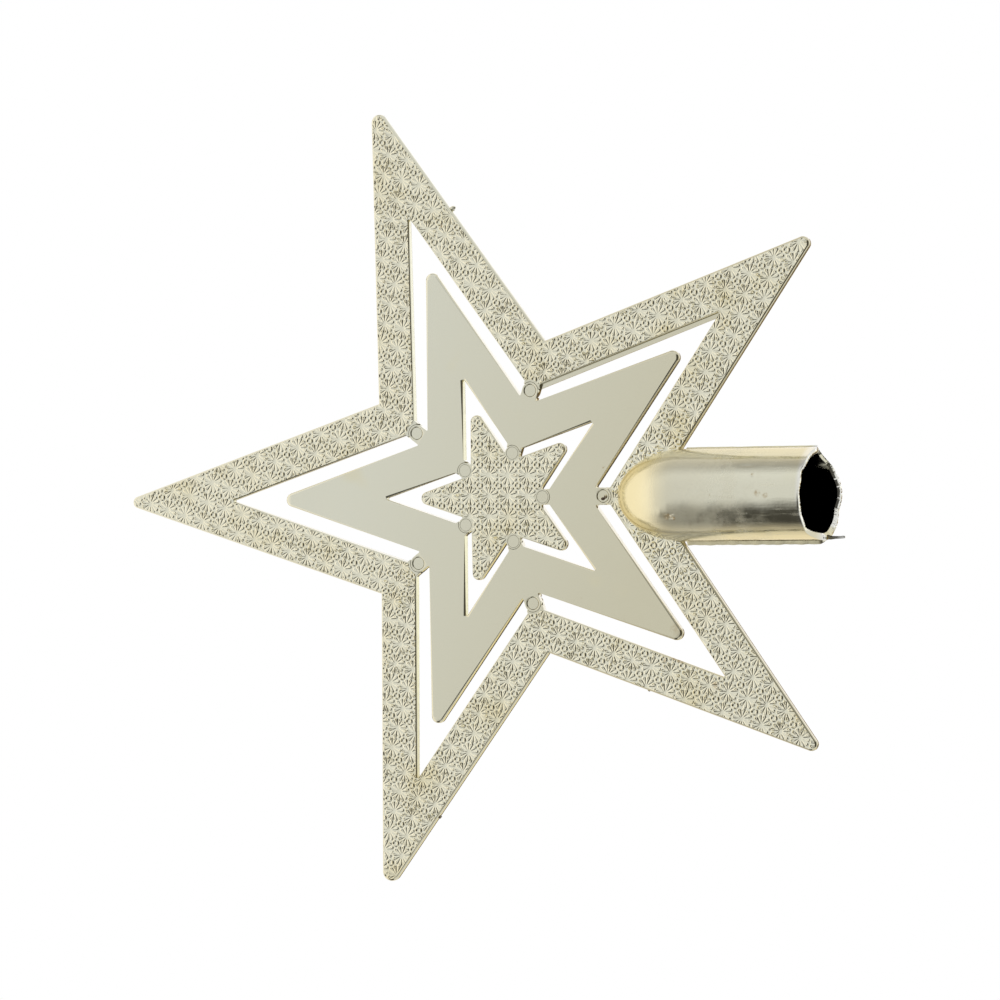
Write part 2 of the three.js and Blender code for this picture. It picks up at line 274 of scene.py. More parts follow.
def outline_distance(points, outline):
    """Signed distance of points from a closed outline, negative inside."""
    nearest = np.full(len(points), np.inf)
    inside = np.zeros(len(points), bool)
    for start, end in zip(outline, np.roll(outline, -1, axis=0)):
        edge = end - start
        offset = points - start
        along = np.clip(offset @ edge / (edge @ edge), 0, 1)
        nearest = np.minimum(nearest, np.linalg.norm(offset - along[:, None] * edge, axis=1))
        crosses = (start[1] > points[:, 1]) != (end[1] > points[:, 1])
        rise = edge[1] if abs(edge[1]) > LEAST_RISE else LEAST_RISE
        inside ^= crosses & (points[:, 0] < start[0] + (points[:, 1] - start[1]) / rise * edge[0])
    return np.where(inside, -nearest, nearest)


def star_distance(points, line, tip_round=0.0, leans=NO_LEANS):
    """Signed distance from a star with rounded tips."""
    outline = star_outline(line / MM, leans)
    if tip_round:
        outline = inset_outline(outline, tip_round / MM)
    return outline_distance(points, outline) - tip_round / MM


def tab_distance(points, arm, start, end, half_width):
    """Signed distance from a round-ended tab that runs along a notch's direction."""
    along = direction((arm + 0.5) * ARM_ANGLE)
    reach = np.clip(points @ along, min(start, end) / MM, max(start, end) / MM)
    return np.linalg.norm(points - reach[:, None] * along, axis=1) - half_width / MM


def pin_places(radius):
    """Centres of the five pins at one distance from the star's centre, in millimetres."""
    return [direction((arm + 0.5) * ARM_ANGLE) * radius / MM for arm in range(ARMS)]


def outside_pins(points, radius, room):
    """Positive inside the pins' round rooms, to be cut away."""
    nearest = np.min([np.linalg.norm(points - pin, axis=1) for pin in pin_places(radius)], axis=0)
    return room / MM - nearest


def with_tabs(distance, points, line, pin_radius, tab, outwards):
    """Adds the five tabs that run from a star's notches to the pins."""
    root = line / NOTCH_COSINE + (-tab if outwards else tab)
    tabs = [tab_distance(points, arm, root, pin_radius, tab / 2) for arm in range(ARMS)]
    return np.minimum(distance, np.min(tabs, axis=0))


def without_tabs(distance, points, pin_radius, tab, seam, outwards):
    """Cuts the room for the neighbouring star's tabs."""
    far = pin_radius + (TAB_ROOM * tab if outwards else -TAB_ROOM * tab)
    rooms = [tab_distance(points, arm, far, pin_radius, tab / 2 + seam) for arm in range(ARMS)]
    return np.maximum(distance, -np.min(rooms, axis=0))


# The embossed pattern, in millimetres


class Lattice:
    """A square lattice of flowers: one flower's middle and number, the pitch and the turn in degrees."""

    def __init__(self, middle, number, pitch, turn):
        self.middle = np.array(middle)
        self.number = np.array(number)
        self.pitch = pitch
        self.across = np.array([math.cos(math.radians(turn)), math.sin(math.radians(turn))])
        self.up = np.array([-self.across[1], self.across[0]])

    def cells(self, points):
        """Cell numbers of points. A flower's middle has whole numbers."""
        offset = points - self.middle
        return np.stack([offset @ self.across, offset @ self.up], 1) / self.pitch + self.number


# The outer star's pattern wanders a little from arm to arm.
ARM_LATTICES = (
    Lattice((0.98, 66.08), (-5, 16), 3.958, -17.5),
    Lattice((-56.30, 21.73), (-16, 1), 3.891, -17.2),
    Lattice((-22.93, -41.72), (-3, -12), 3.988, -17.0),
    Lattice((39.31, -42.51), (12, -8), 3.966, -15.3),
    Lattice((2.23, 0.01), (0, 0), 3.927, -16.3),
)
INNER_LATTICE = Lattice((0.28, -1.73), (0, 0), 3.95, -1.0)
# Share of an arm's angle over which two arms' patterns blend at a notch
LATTICE_BLEND = 0.3
PATTERN_SEED = 7
# The random differences between flowers repeat after this many cells
TILE = 64
FLOWER_TURNS = (-0.1, 0.1)
FLOWER_HEIGHTS = (0.75, 1.1)
PETAL_HEIGHTS = (0.45, 1.3)
# A raised part's flank lies this share outside its outline, and the rest inside
FLANK_OUTSIDE = 0.3
# Height of a petal's narrow end as a share of its wide end's
NARROW_HEIGHT = 0.3
# A furrow's width as a share of its petal's, where it deepens along the petal, and where it closes
FURROW_WIDTH = 0.5
FURROW_OPENS = (0.15, 0.5)
FURROW_CLOSES = (0.02, 0.2)
RING_SHARPNESS = 2


def smooth_rise(value, low, high):
    """Rises smoothly from none at the low value to one at the high value."""
    share_done = np.clip((value - low) / (high - low), 0, 1)
    return share_done * share_done * (3 - 2 * share_done)


def outer_cells(points):
    """Cell numbers on the outer star, blended across the notches between its arms."""
    turn = np.arctan2(-points[:, 0], points[:, 1])
    total = np.zeros((len(points), 2))
    weights = np.zeros(len(points))
    for arm, lattice in enumerate(ARM_LATTICES):
        apart = np.abs((turn - arm * ARM_ANGLE + math.pi) % (2 * math.pi) - math.pi) / ARM_ANGLE
        weight = 1 - smooth_rise(apart, 0.5 - LATTICE_BLEND / 2, 0.5 + LATTICE_BLEND / 2)
        total += weight[:, None] * lattice.cells(points)
        weights += weight
    return total / weights[:, None]


def pattern_height(cells, pitch, pattern):
    """How far the pattern of flowers and rings stands up at each point."""
    random = np.random.default_rng(PATTERN_SEED)
    turns = random.uniform(*FLOWER_TURNS, (TILE, TILE))
    worn = random.uniform(*FLOWER_HEIGHTS, (TILE, TILE))
    uneven = random.uniform(*PETAL_HEIGHTS, (TILE, TILE, MOST_PETALS))
    flower = np.round(cells)
    ring = np.round(cells - 0.5)
    from_flower = (cells - flower) * pitch
    from_ring = (cells - 0.5 - ring) * pitch
    which = flower.astype(int) % TILE
    radius = np.linalg.norm(from_flower, axis=1)
    around = np.arctan2(from_flower[:, 1], from_flower[:, 0]) + turns[which[:, 0], which[:, 1]]
    sector = 2 * math.pi / pattern.petals
    beside = (around + sector / 2) % sector - sector / 2
    petal = np.floor((around + sector / 2) / sector).astype(int) % pattern.petals
    along = radius * np.cos(beside)
    aside = radius * np.sin(beside)
    start = pattern.petal_start / MM
    run = (pattern.petal_end - pattern.petal_wide) / MM - start
    reached = np.clip((along - start) / run, 0, 1)
    width = (pattern.petal_narrow + (pattern.petal_wide - pattern.petal_narrow) * reached) / MM
    inside = width - np.hypot(along - start - reached * run, aside)
    flank = pattern.flank / MM
    petals = smooth_rise(inside, -flank * FLANK_OUTSIDE, flank * (1 - FLANK_OUTSIDE))
    petals *= NARROW_HEIGHT + (1 - NARROW_HEIGHT) * reached
    closed = 1 - smooth_rise(along - start - run, *FURROW_CLOSES)
    furrow = np.exp(-(aside / (width * FURROW_WIDTH)) ** 2) * smooth_rise(reached, *FURROW_OPENS) * closed
    petals *= 1 - pattern.furrow * furrow
    petals *= worn[which[:, 0], which[:, 1]] * uneven[which[:, 0], which[:, 1], petal]
    ring_offset = (np.linalg.norm(from_ring, axis=1) - pattern.ring_radius / MM) / (pattern.ring_width / MM)
    rings = np.exp(-ring_offset * ring_offset * RING_SHARPNESS)
    raised = np.maximum(petals * pattern.petal_height, rings * pattern.ring_height)
    return (raised + pattern.ground) / MM


# Where the outer star's pattern is worn away: X and height from the centre, and reach, in millimetres
WORN_PLACES = (
    ((48.6, -66.5), 5.0),
    ((-39.2, 72.0), 2.0),
)
# What is left of a worn pattern, and the share of the reach that is worn as far
WORN_LEFT = 0.12
WORN_CORE = 0.6


def wear(points):
    """How much of the outer star's pattern is left at each point."""
    left = np.ones(len(points))
    for place, reach in WORN_PLACES:
        apart = np.linalg.norm(points - place, axis=1)
        left *= WORN_LEFT + (1 - WORN_LEFT) * smooth_rise(apart, reach * WORN_CORE, reach)
    return left


# Outlines and fillings of flat regions, in millimetres

# Half the step over which a slope is measured, and the least slope that is divided by
NUDGE = 0.01
LEAST_SLOPE = 1e-9
# Grid points in a block's side, and how near a region's edge a block is measured point by point,
# in half sides
BLOCK = 8
BLOCK_MARGIN = 1.5
DRAWING_ROUNDS = 5
# Rounds and limits of tidying a loop: the shortest side as a share of the step, how far a point
# on a straight stretch may lie off it, and the fewest points in a loop
FOLD_ROUNDS = 4
THINNING_ROUNDS = 14
SHORTEST_SIDE = 0.2
STRAIGHTNESS = 0.0015
FEWEST_POINTS = 8


def region_slope(region, points):
    """The direction in which a region's distance grows fastest."""
    across = region(points + [NUDGE, 0]) - region(points - [NUDGE, 0])
    up = region(points + [0, NUDGE]) - region(points - [0, NUDGE])
    slope = np.stack([across, up], 1)
    return slope / np.maximum(np.linalg.norm(slope, axis=1), LEAST_SLOPE)[:, None]


def region_values(region, across, up, step):
    """Signed distances on a grid. Blocks that lie clear of the region's edge take their middle's value."""
    blocks_across = -(-len(across) // BLOCK)
    blocks_up = -(-len(up) // BLOCK)
    middle = (BLOCK - 1) / 2 * step
    middles = np.stack(np.meshgrid(across[::BLOCK] + middle, up[::BLOCK] + middle, indexing="ij"), -1)
    coarse = region(middles.reshape(-1, 2)).reshape(blocks_across, blocks_up)
    values = np.repeat(np.repeat(coarse, BLOCK, 0), BLOCK, 1)[:len(across), :len(up)].ravel()
    near = np.abs(values) < middle * BLOCK_MARGIN
    grid = np.stack(np.meshgrid(across, up, indexing="ij"), -1).reshape(-1, 2)
    values[near] = region(grid[near])
    return grid, values


def region_grid(region, low, high, step):
    """Square cells over a region, with the outer points drawn to the region's edge."""
    across = np.arange(low[0], high[0] + step, step)
    up = np.arange(low[1], high[1] + step, step)
    grid, values = region_values(region, across, up, step)
    rows = len(up)
    corner = (np.arange(len(across) - 1)[:, None] * rows + np.arange(rows - 1)[None, :]).ravel()
    cells = np.stack([corner, corner + rows, corner + rows + 1, corner + 1], 1)
    cells = cells[values[cells].mean(1) <= 0]
    used, cells = np.unique(cells, return_inverse=True)
    cells = cells.reshape(-1, 4)
    points = grid[used]
    rim = np.unique(open_edges(cells))
    points[rim] = drawn_to(region, points[rim], 0.0)
    return points, cells


def open_edges(cells):
    """The edges that belong to one cell only, in the cell's own direction."""
    edges = np.concatenate([np.stack([cells[:, i], cells[:, (i + 1) % 4]], 1) for i in range(4)])
    key = np.sort(edges, axis=1)
    _, first, count = np.unique(key, axis=0, return_index=True, return_counts=True)
    return edges[first[count == 1]]


def fill_loops(points, edges):
    """Fills flat closed loops, each with its filled side on its left. Gives places and triangles."""
    flat = [Vector(point) for point in points]
    whole_hull = 0
    filled = delaunay_2d_cdt(flat, edges.tolist(), [], whole_hull, JOINED)
    places = np.array([tuple(vert) for vert in filled[0]])
    runs = points[edges[:, 1]] - points[edges[:, 0]]
    rise = {}
    for (a, b), sources in zip(filled[1], filled[4]):
        ahead = sum(1 if runs[source] @ (places[b] - places[a]) > 0 else -1 for source in sources)
        rise[(a, b)] = ahead
        rise[(b, a)] = -ahead
    triangles = [tuple(face) for face in filled[2]]
    owner = {}
    for index, (a, b, c) in enumerate(triangles):
        owner.update({(a, b): index, (b, c): index, (c, a): index})
    depth = {}
    waiting = []
    for edge, index in owner.items():
        if edge[::-1] not in owner and index not in depth:
            depth[index] = rise.get(edge, 0)
            waiting.append(index)
    while waiting:
        index = waiting.pop()
        a, b, c = triangles[index]
        for edge in ((a, b), (b, c), (c, a)):
            neighbour = owner.get(edge[::-1])
            if neighbour is not None and neighbour not in depth:
                depth[neighbour] = depth[index] - rise.get(edge, 0)
                waiting.append(neighbour)
    return places, [triangle for index, triangle in enumerate(triangles) if depth.get(index, 0) > 0]


def drawn_to(region, places, inset):
    """Moves places to where they lie at an inset from the region's edge."""
    for _ in range(DRAWING_ROUNDS):
        places = places - region_slope(region, places) * (region(places) + inset)[:, None]
    return places


def tidy_loop(loop, step):
    """Takes out a loop's folds, and then its points that lie on straight stretches."""
    for _ in range(FOLD_ROUNDS):
        before = loop - np.roll(loop, 1, axis=0)
        after = np.roll(loop, -1, axis=0) - loop
        folded = (before * after).sum(1) < 0
        short = np.hypot(before[:, 0], before[:, 1]) < step * SHORTEST_SIDE
        loop = loop[~(folded | short)]
    for round_number in range(THINNING_ROUNDS):
        before = np.roll(loop, 1, axis=0)
        chord = np.roll(loop, -1, axis=0) - before
        offset = loop - before
        reach = np.hypot(chord[:, 0], chord[:, 1])
        away = np.abs(chord[:, 0] * offset[:, 1] - chord[:, 1] * offset[:, 0]) / reach
        flat = away < STRAIGHTNESS
        flat[round_number % 2::2] = False
        loop = loop[~flat]
    return loop


def outlines(region, reach, step):
    """The region's edge as closed loops. Each has the region on its left."""
    points, cells = region_grid(region, (-reach, -reach), (reach, reach), step)
    following = {}
    for start, end in open_edges(cells).tolist():
        following.setdefault(start, []).append(end)
    loops = []
    while following:
        start = next(iter(following))
        loop = []
        here = start
        while here in following:
            loop.append(here)
            ends = following[here]
            here = ends.pop()
            if not ends:
                del following[loop[-1]]
        loops.append(tidy_loop(points[loop], step))
    return [loop for loop in loops if len(loop) > FEWEST_POINTS]


# Meshes


def mesh_of(parts):
    """A bmesh from parts, each places in millimetres and faces. Places that meet are joined."""
    places = []
    faces = []
    for part_places, part_faces in parts:
        places.append(part_places)
        first = sum(len(earlier) for earlier in places[:-1])
        faces += [[first + index for index in face] for face in part_faces]
    mesh = bpy.data.meshes.new("draft")
    mesh.from_pydata(np.concatenate(places) * MM, [], faces)
    bm = bmesh.new()
    bm.from_mesh(mesh)
    bpy.data.meshes.remove(mesh)
    bmesh.ops.remove_doubles(bm, verts=bm.verts, dist=JOINED)
    bmesh.ops.recalc_face_normals(bm, faces=bm.faces)
    return bm


# Edges that turn more than this stay sharp, in degrees
SHARP = 35.0
PATTERN_SHARP = 75.0
PLATE_SHARP = 60.0
PIN_SHARP = 15.0
BACK_SHELL_SHARP = 25.0


def whole(bm):
    """Joins a bmesh's points that meet and turns its faces outwards."""
    bmesh.ops.remove_doubles(bm, verts=bm.verts, dist=FINELY_JOINED)
    bmesh.ops.recalc_face_normals(bm, faces=bm.faces)
    return bm


def close_ring(bm, first, second):
    """Joins two closed rings of the same number of points with faces."""
    for index in range(len(first)):
        following = (index + 1) % len(first)
        bm.faces.new([first[index], first[following], second[following], second[index]])


def new_piece(name, bm, material, nodes=(), sharp_angle=SHARP):
    """Turns a bmesh in metres into a piece that rides on the part."""
    mesh = bpy.data.meshes.new(name)
    bm.to_mesh(mesh)
    bm.free()
    mesh.polygons.foreach_set("use_smooth", np.ones(len(mesh.polygons), bool))
    mesh.set_sharp_from_angle(angle=math.radians(sharp_angle))
    mesh.materials.append(material)
    piece = bpy.data.objects.new(name, mesh)
    bpy.context.scene.collection.objects.link(piece)
    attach(piece, "root")
    if nodes:
        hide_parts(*nodes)
    return piece


def upright(flat, y, centre):
    """Puts flat places of the star's face into the plane at Y."""
    return np.stack([flat[:, 0], np.broadcast_to(y, len(flat)), flat[:, 1] + centre], 1)


def pattern_piece(name, stars, pattern, region, box, height, material):
    """A thin skin with the raised pattern, set into the front of its plate."""
    points, cells = region_grid(region, box[0], box[1], pattern.step / MM)
    centre = stars.centre_height / MM
    front = -stars.half_thickness / MM
    root = front + pattern.root / MM
    rim, edges = np.unique(open_edges(cells), return_inverse=True)
    edges = edges.reshape(-1, 2)
    foot = len(points) + np.arange(len(rim))
    top = upright(points, front - height(points), centre)
    below = upright(points[rim], root, centre)
    walls = np.stack([rim[edges[:, 1]], rim[edges[:, 0]], foot[edges[:, 0]], foot[edges[:, 1]]], 1)
    floor, floor_faces = fill_loops(points[rim], edges)
    skin = (np.concatenate([top, below]), cells.tolist() + walls.tolist())
    bm = mesh_of([skin, (upright(floor, root, centre), floor_faces)])
    return new_piece(name, bm, material, sharp_angle=PATTERN_SHARP)


# The bevel's shape, as shares of its width: inset from the wall and depth under the face
BEVEL = ((1.0, 0.0), (0.93, 0.015), (0.3, 0.28), (0.08, 0.5), (0.0, 0.8))
# Half the gap between the two closed halves of a plate, in millimetres
PARTING_GAP = 0.002
# The width over which the bevel grows beside a joint, in millimetres
BEVEL_GROWS = 0.9


def layer(region, reach, stars, side, bevel):
    """The parts of one closed half of a plate, in front for side -1 and at the back for side 1."""
    loops = outlines(region, reach, stars.step / MM)
    place = np.concatenate(loops)
    edges = []
    for loop in loops:
        ring = len(edges) + np.arange(len(loop))
        edges += np.stack([ring, np.roll(ring, -1)], 1).tolist()
    edges = np.array(edges)
    centre = stars.centre_height / MM
    half = stars.half_thickness / MM
    width = bevel(place)
    rings = [drawn_to(region, place, inset * width + stars.draft / MM) for inset, _ in BEVEL]
    levels = [side * (half - depth * width) for _, depth in BEVEL]
    rings.append(place)
    levels.append(side * PARTING_GAP)
    places = [upright(ring, y, centre) for ring, y in zip(rings, levels)]
    walls = []
    for level in range(len(levels) - 1):
        low = edges + level * len(place)
        high = low + len(place)
        walls += np.stack([low[:, 1], low[:, 0], high[:, 0], high[:, 1]], 1).tolist()
    parts = [(np.concatenate(places), walls)]
    for ring, y in ((rings[0], side * half), (rings[-1], side * PARTING_GAP)):
        cap, faces = fill_loops(ring, edges)
        parts.append((upright(cap, y, centre), faces))
    return parts


def joint_bevel(stars, joints, pin_radii, ringed=False):
    """The bevel's width at each point. It is fine near the pins, and wider round ringed outer ones."""
    def width(points):
        widths = np.full(len(points), stars.bevel)
        for radius in pin_radii:
            share_out = smooth_rise(-outside_pins(points, radius, joints.bevel_room), 0.0, BEVEL_GROWS)
            widths = np.minimum(widths, stars.fine_bevel + (stars.bevel - stars.fine_bevel) * share_out)
        if ringed:
            in_ring = outside_pins(points, joints.outer_radius, joints.ring_room) > 0.0
            widths = np.where(in_ring, stars.joint_bevel, widths)
        return widths / MM
    return width


def plate_piece(name, stars, front_region, back_region, reach, bevel, material, nodes):
    """A flat star with bevelled edges, moulded in two halves that meet in the parting plane."""
    parts = layer(front_region, reach, stars, -1, bevel)
    parts += layer(back_region, reach, stars, 1, bevel)
    piece = new_piece(name, mesh_of(parts), material, nodes, PLATE_SHARP)
    weighted = piece.modifiers.new("Flat faces", "WEIGHTED_NORMAL")
    weighted.keep_sharp = True
    return piece


def turned(profile, steps, centre):
    """A bmesh turned about a line along Y through a centre, from [radius, y] pairs."""
    bm = bmesh.new()
    rings = []
    for radius, y in profile:
        ring = []
        for step in range(steps):
            turn = 2 * math.pi * step / steps
            place = Vector((radius * math.cos(turn), y, radius * math.sin(turn)))
            ring.append(bm.verts.new(place + centre))
        rings.append(ring)
    for lower, upper in zip(rings, rings[1:]):
        close_ring(bm, lower, upper)
    return whole(bm)


# Materials

# The mix node's sockets for colours
MIX_FIRST = 6
MIX_SECOND = 7
MIX_RESULT = 2


class Nodes:
    """Short ways to add and join the nodes of one material or world."""

    def __init__(self, owner, output="ShaderNodeOutputMaterial"):
        owner.use_nodes = True
        self.tree = owner.node_tree
        self.tree.nodes.clear()
        self.output = self.add(output)

    def add(self, kind, **settings):
        """A new node with these settings."""
        node = self.tree.nodes.new(kind)
        for name, value in settings.items():
            setattr(node, name, value)
        return node

    def join(self, out_socket, in_socket):
        """Links a node's output to another one's input."""
        self.tree.links.new(out_socket, in_socket)

    def feed(self, value, in_socket):
        """Joins another node's output, or sets a plain number, place or colour."""
        if isinstance(value, bpy.types.NodeSocket):
            self.join(value, in_socket)
        elif in_socket.type == "RGBA":
            in_socket.default_value = (*value, 1.0)
        else:
            in_socket.default_value = value

    def surface(self, out_socket):
        """Links a shader to the material's or the world's surface."""
        self.join(out_socket, self.output.inputs["Surface"])

    def place(self):
        """A point's place on the object, in metres."""
        return self.add("ShaderNodeTexCoord").outputs["Object"]

    def split(self, vector):
        """The X, Y and Z of a vector."""
        node = self.add("ShaderNodeSeparateXYZ")
        self.join(vector, node.inputs[0])
        return node.outputs[0], node.outputs[1], node.outputs[2]

    def noise(self, scale, detail, roughness=0.5, place=None):
        """A noise over the object, or over the place given."""
        node = self.add("ShaderNodeTexNoise")
        self.join(self.place() if place is None else place, node.inputs["Vector"])
        node.inputs["Scale"].default_value = scale
        node.inputs["Detail"].default_value = detail
        node.inputs["Roughness"].default_value = roughness
        return node.outputs["Fac"]

    def between(self, value, low, high, to_low=0.0, to_high=1.0, interpolation="SMOOTHSTEP"):
        """Maps the range from low to high onto another one, and holds its ends beyond."""
        node = self.add("ShaderNodeMapRange", interpolation_type=interpolation)
        self.join(value, node.inputs["Value"])
        node.inputs["From Min"].default_value = low
        node.inputs["From Max"].default_value = high
        node.inputs["To Min"].default_value = to_low
        node.inputs["To Max"].default_value = to_high
        return node.outputs["Result"]

    def mix(self, factor, first, second, blend="MIX"):
        """Blends two colours."""
        node = self.add("ShaderNodeMix", data_type="RGBA", blend_type=blend)
        self.feed(factor, node.inputs["Factor"])
        self.feed(first, node.inputs[MIX_FIRST])
        self.feed(second, node.inputs[MIX_SECOND])
        return node.outputs[MIX_RESULT]

    def math(self, operation, first, second=0.0):
        """One sum on two numbers."""
        node = self.add("ShaderNodeMath", operation=operation)
        self.feed(first, node.inputs[0])
        self.feed(second, node.inputs[1])
        return node.outputs[0]

    def either(self, factor, first, second):
        """The first shader, or the second one where the factor is one."""
        node = self.add("ShaderNodeMixShader")
        self.join(factor, node.inputs[0])
        self.join(first.outputs[0], node.inputs[1])
        self.join(second.outputs[0], node.inputs[2])
        return node.outputs[0]

    def vector_math(self, operation, first, second):
        """A distance or a dot product."""
        node = self.add("ShaderNodeVectorMath", operation=operation)
        self.feed(first, node.inputs[0])
        self.feed(second, node.inputs[1])
        return node.outputs["Value"]

    def near(self, point, outer, inner):
        """One within the inner distance of a point in metres and none beyond the outer one."""
        return self.between(self.vector_math("DISTANCE", self.place(), point), inner, outer, 1.0, 0.0)

    def bump(self, height, distance, under=None):
        """The normal of a relief, laid over the normal under it."""
        node = self.add("ShaderNodeBump")
        node.inputs["Distance"].default_value = distance
        self.join(height, node.inputs["Height"])
        if under is not None:
            self.join(under, node.inputs["Normal"])
        return node.outputs["Normal"]


# Noises in the finishes: scale, detail and roughness
PATCH_NOISE = (90.0, 2.0)
STAIN_NOISE = (420.0, 4.0, 0.6)
SPOT_NOISE = (1900.0, 3.0, 0.7)
GLOSS_NOISE = (700.0, 5.0, 0.6)
WAVE_NOISE = (110.0, 1.0)
GRAIN_NOISE = (2600.0, 3.0)
DRIFT_NOISE = (260.0, 3.0, 0.6)
MOTTLE_NOISE = (650.0, 3.0, 0.65)
STREAK_NOISE = (1100.0, 3.0)
FLECK_NOISE = (1500.0, 4.0, 0.6)
FLASH_NOISE = (2400.0, 3.0)

# Between which of their noise's values the gold's patches, stains, spots and gloss set in
PATCHES = (0.62, 0.95)
STAINS = (0.72, 0.8)
SPOTS = (0.35, 0.6)
GLOSS = (0.3, 0.75)
GLOSS_SHARES = (0.75, 1.5)
# The share of a spot's reach in which it is full
SPOT_CORE = 0.3

# Stained spots: place in millimetres, reach in millimetres and strength
EDGE_SPOTS = (
    ((-30.75, -0.8, 29.3), 1.0, 1.0),
    ((-30.3, -0.8, 30.4), 0.8, 1.0),
    ((-30.9, -0.8, 32.4), 0.5, 0.7),
    ((-35.46, -0.8, 22.39), 0.8, 0.6),
)
SMOOTH_SPOTS = EDGE_SPOTS + (
    ((-25.0, -0.8, 30.0), 1.6, 0.3),
)
SOCKET_SPOTS = (
    ((0.26, -8.7, 10.65), 0.8, 0.7),
    ((-0.13, -8.7, 9.1), 0.75, 0.7),
    ((3.77, -7.85, 11.86), 0.4, 0.6),
    ((-3.9, -7.78, 28.9), 1.05, 1.0),
    ((-4.2, -7.62, 27.8), 0.75, 1.0),
)

# Each gold: its colour's and roughness's names, its warmth, the heights of its waves and grain, and
# its spots
PATTERN_GOLD = ("pattern", "pattern_roughness", 0.14, 0.03 * MM, 0.004 * MM, EDGE_SPOTS)
SMOOTH_GOLD = ("pale", "smooth_roughness", 0.0, 0.05 * MM, 0.002 * MM, SMOOTH_SPOTS)
SOCKET_GOLD = ("tube", "socket_roughness", 0.05, 0.06 * MM, 0.003 * MM, SOCKET_SPOTS)

# Where the smooth star's metal is palest and deepest, by height with a share of X, in millimetres
PALEST_AT = 97.0
DEEPEST_AT = 30.0
TURNED_BY = 0.4


def gold_shader(nodes, finish, gold):
    """Metallised plastic: pale gold that turns warmer in patches, with faint waves and stained spots."""
    colour_name, roughness_name, warmth, waves, grain, spots = gold
    shader = nodes.add("ShaderNodeBsdfPrincipled")
    shader.inputs["Metallic"].default_value = 1.0
    tone = tuple(getattr(finish, colour_name))
    if colour_name == "pale":
        tone = nodes.mix(towards_socket(nodes), tone, tuple(finish.deep))
    patches = nodes.between(nodes.noise(*PATCH_NOISE), PATCHES[0] - warmth, PATCHES[1] - warmth)
    tone = nodes.mix(patches, tone, tuple(finish.warm))
    stained = nodes.between(nodes.noise(*STAIN_NOISE), *STAINS)
    for place, reach, strength in spots:
        blot = nodes.near([value * MM for value in place], reach * MM, reach * MM * SPOT_CORE)
        broken = nodes.between(nodes.noise(*SPOT_NOISE), *SPOTS, 0.0, strength)
        stained = nodes.math("MAXIMUM", stained, nodes.math("MULTIPLY", blot, broken))
    nodes.join(nodes.mix(stained, tone, tuple(finish.stain)), shader.inputs["Base Color"])
    glossiest, dullest = [getattr(finish, roughness_name) * part for part in GLOSS_SHARES]
    rough = nodes.between(nodes.noise(*GLOSS_NOISE), *GLOSS, glossiest, dullest)
    nodes.join(rough, shader.inputs["Roughness"])
    wavy = nodes.bump(nodes.noise(*WAVE_NOISE), waves)
    nodes.join(nodes.bump(nodes.noise(*GRAIN_NOISE), grain, wavy), shader.inputs["Normal"])
    nodes.surface(shader.outputs["BSDF"])
    return shader


def towards_socket(nodes):
    """Rises from none at the top tip to one near the socket."""
    x, _, z = nodes.split(nodes.place())
    level = nodes.math("ADD", z, nodes.math("MULTIPLY", x, TURNED_BY))
    return nodes.between(level, DEEPEST_AT * MM, PALEST_AT * MM, 1.0, 0.0, "LINEAR")


def shared_material(name):
    """The material of that name and its nodes. The nodes are None when it was made before."""
    material = bpy.data.materials.get(name)
    if material:
        return material, None
    material = bpy.data.materials.new(name)
    return material, Nodes(material)


def pattern_material(scene):
    """The embossed stars' gold."""
    material, nodes = shared_material("embossed_metallised_gold")
    if nodes:
        gold_shader(nodes, scene.topper_finish, PATTERN_GOLD)
    return material


def smooth_material(scene):
    """The plates' and pins' gold."""
    material, nodes = shared_material("smooth_metallised_gold")
    if nodes:
        gold_shader(nodes, scene.topper_finish, SMOOTH_GOLD)
    return material


# The socket's finish, by height and place in metres: where each change starts and ends, and how
# strong it is

# The metal thins out towards the nose, wanders a little as it does, and is full again at its tip.
THINNING = (0.008, 0.026)
DRIFT = (0.2, 0.8, -0.007, 0.007)
RESTORED = (0.027, 0.034, 0.0, 0.92)
# The lacquer is thick on the nose. Towards the seams, on the tube's sides, the same warmer gold is painted
# reflection.
THICK_ON_NOSE = (0.026, 0.037)
PAINTED_REFLECTION_AT_SEAMS = (0.001, 0.0052, 0.75, 0.0)
# The mouth's rim is bare. Behind, and in its lower corner, it is bare less far up.
BARE_AT_RIM = (0.0022, 0.0036, 0.9, 0.0)
LESS_BEHIND = (-0.001, 0.001, 0.0, 0.0014)
LESS_IN_CORNER = (-0.0068, -0.0058, 0.0018, 0.0)
# The nose is duller, and the streaks are rough and deepest near the mouth.
DULL_NOSE = (0.02, 0.036, 0.0, 0.07)
ROUGH_STREAKS = (0.55, 0.66, 0.0, 0.17)
STREAKS_FADE = (0.014, 0.026, 1.0, 0.1)
DEEP_STREAKS = (0.004, 0.02, 1.0, 0.15)
STREAK_DEPTH = 0.035 * MM
STREAK_STRETCH = (1.0, 1.0, 0.09)
MOTTLE_DEPTH = 0.008 * MM
# How squarely a face looks towards the axis to count as the bore, whose near-black colour is painted shade
FACING_IN = (-0.95, -0.85, 1.0, 0.0)


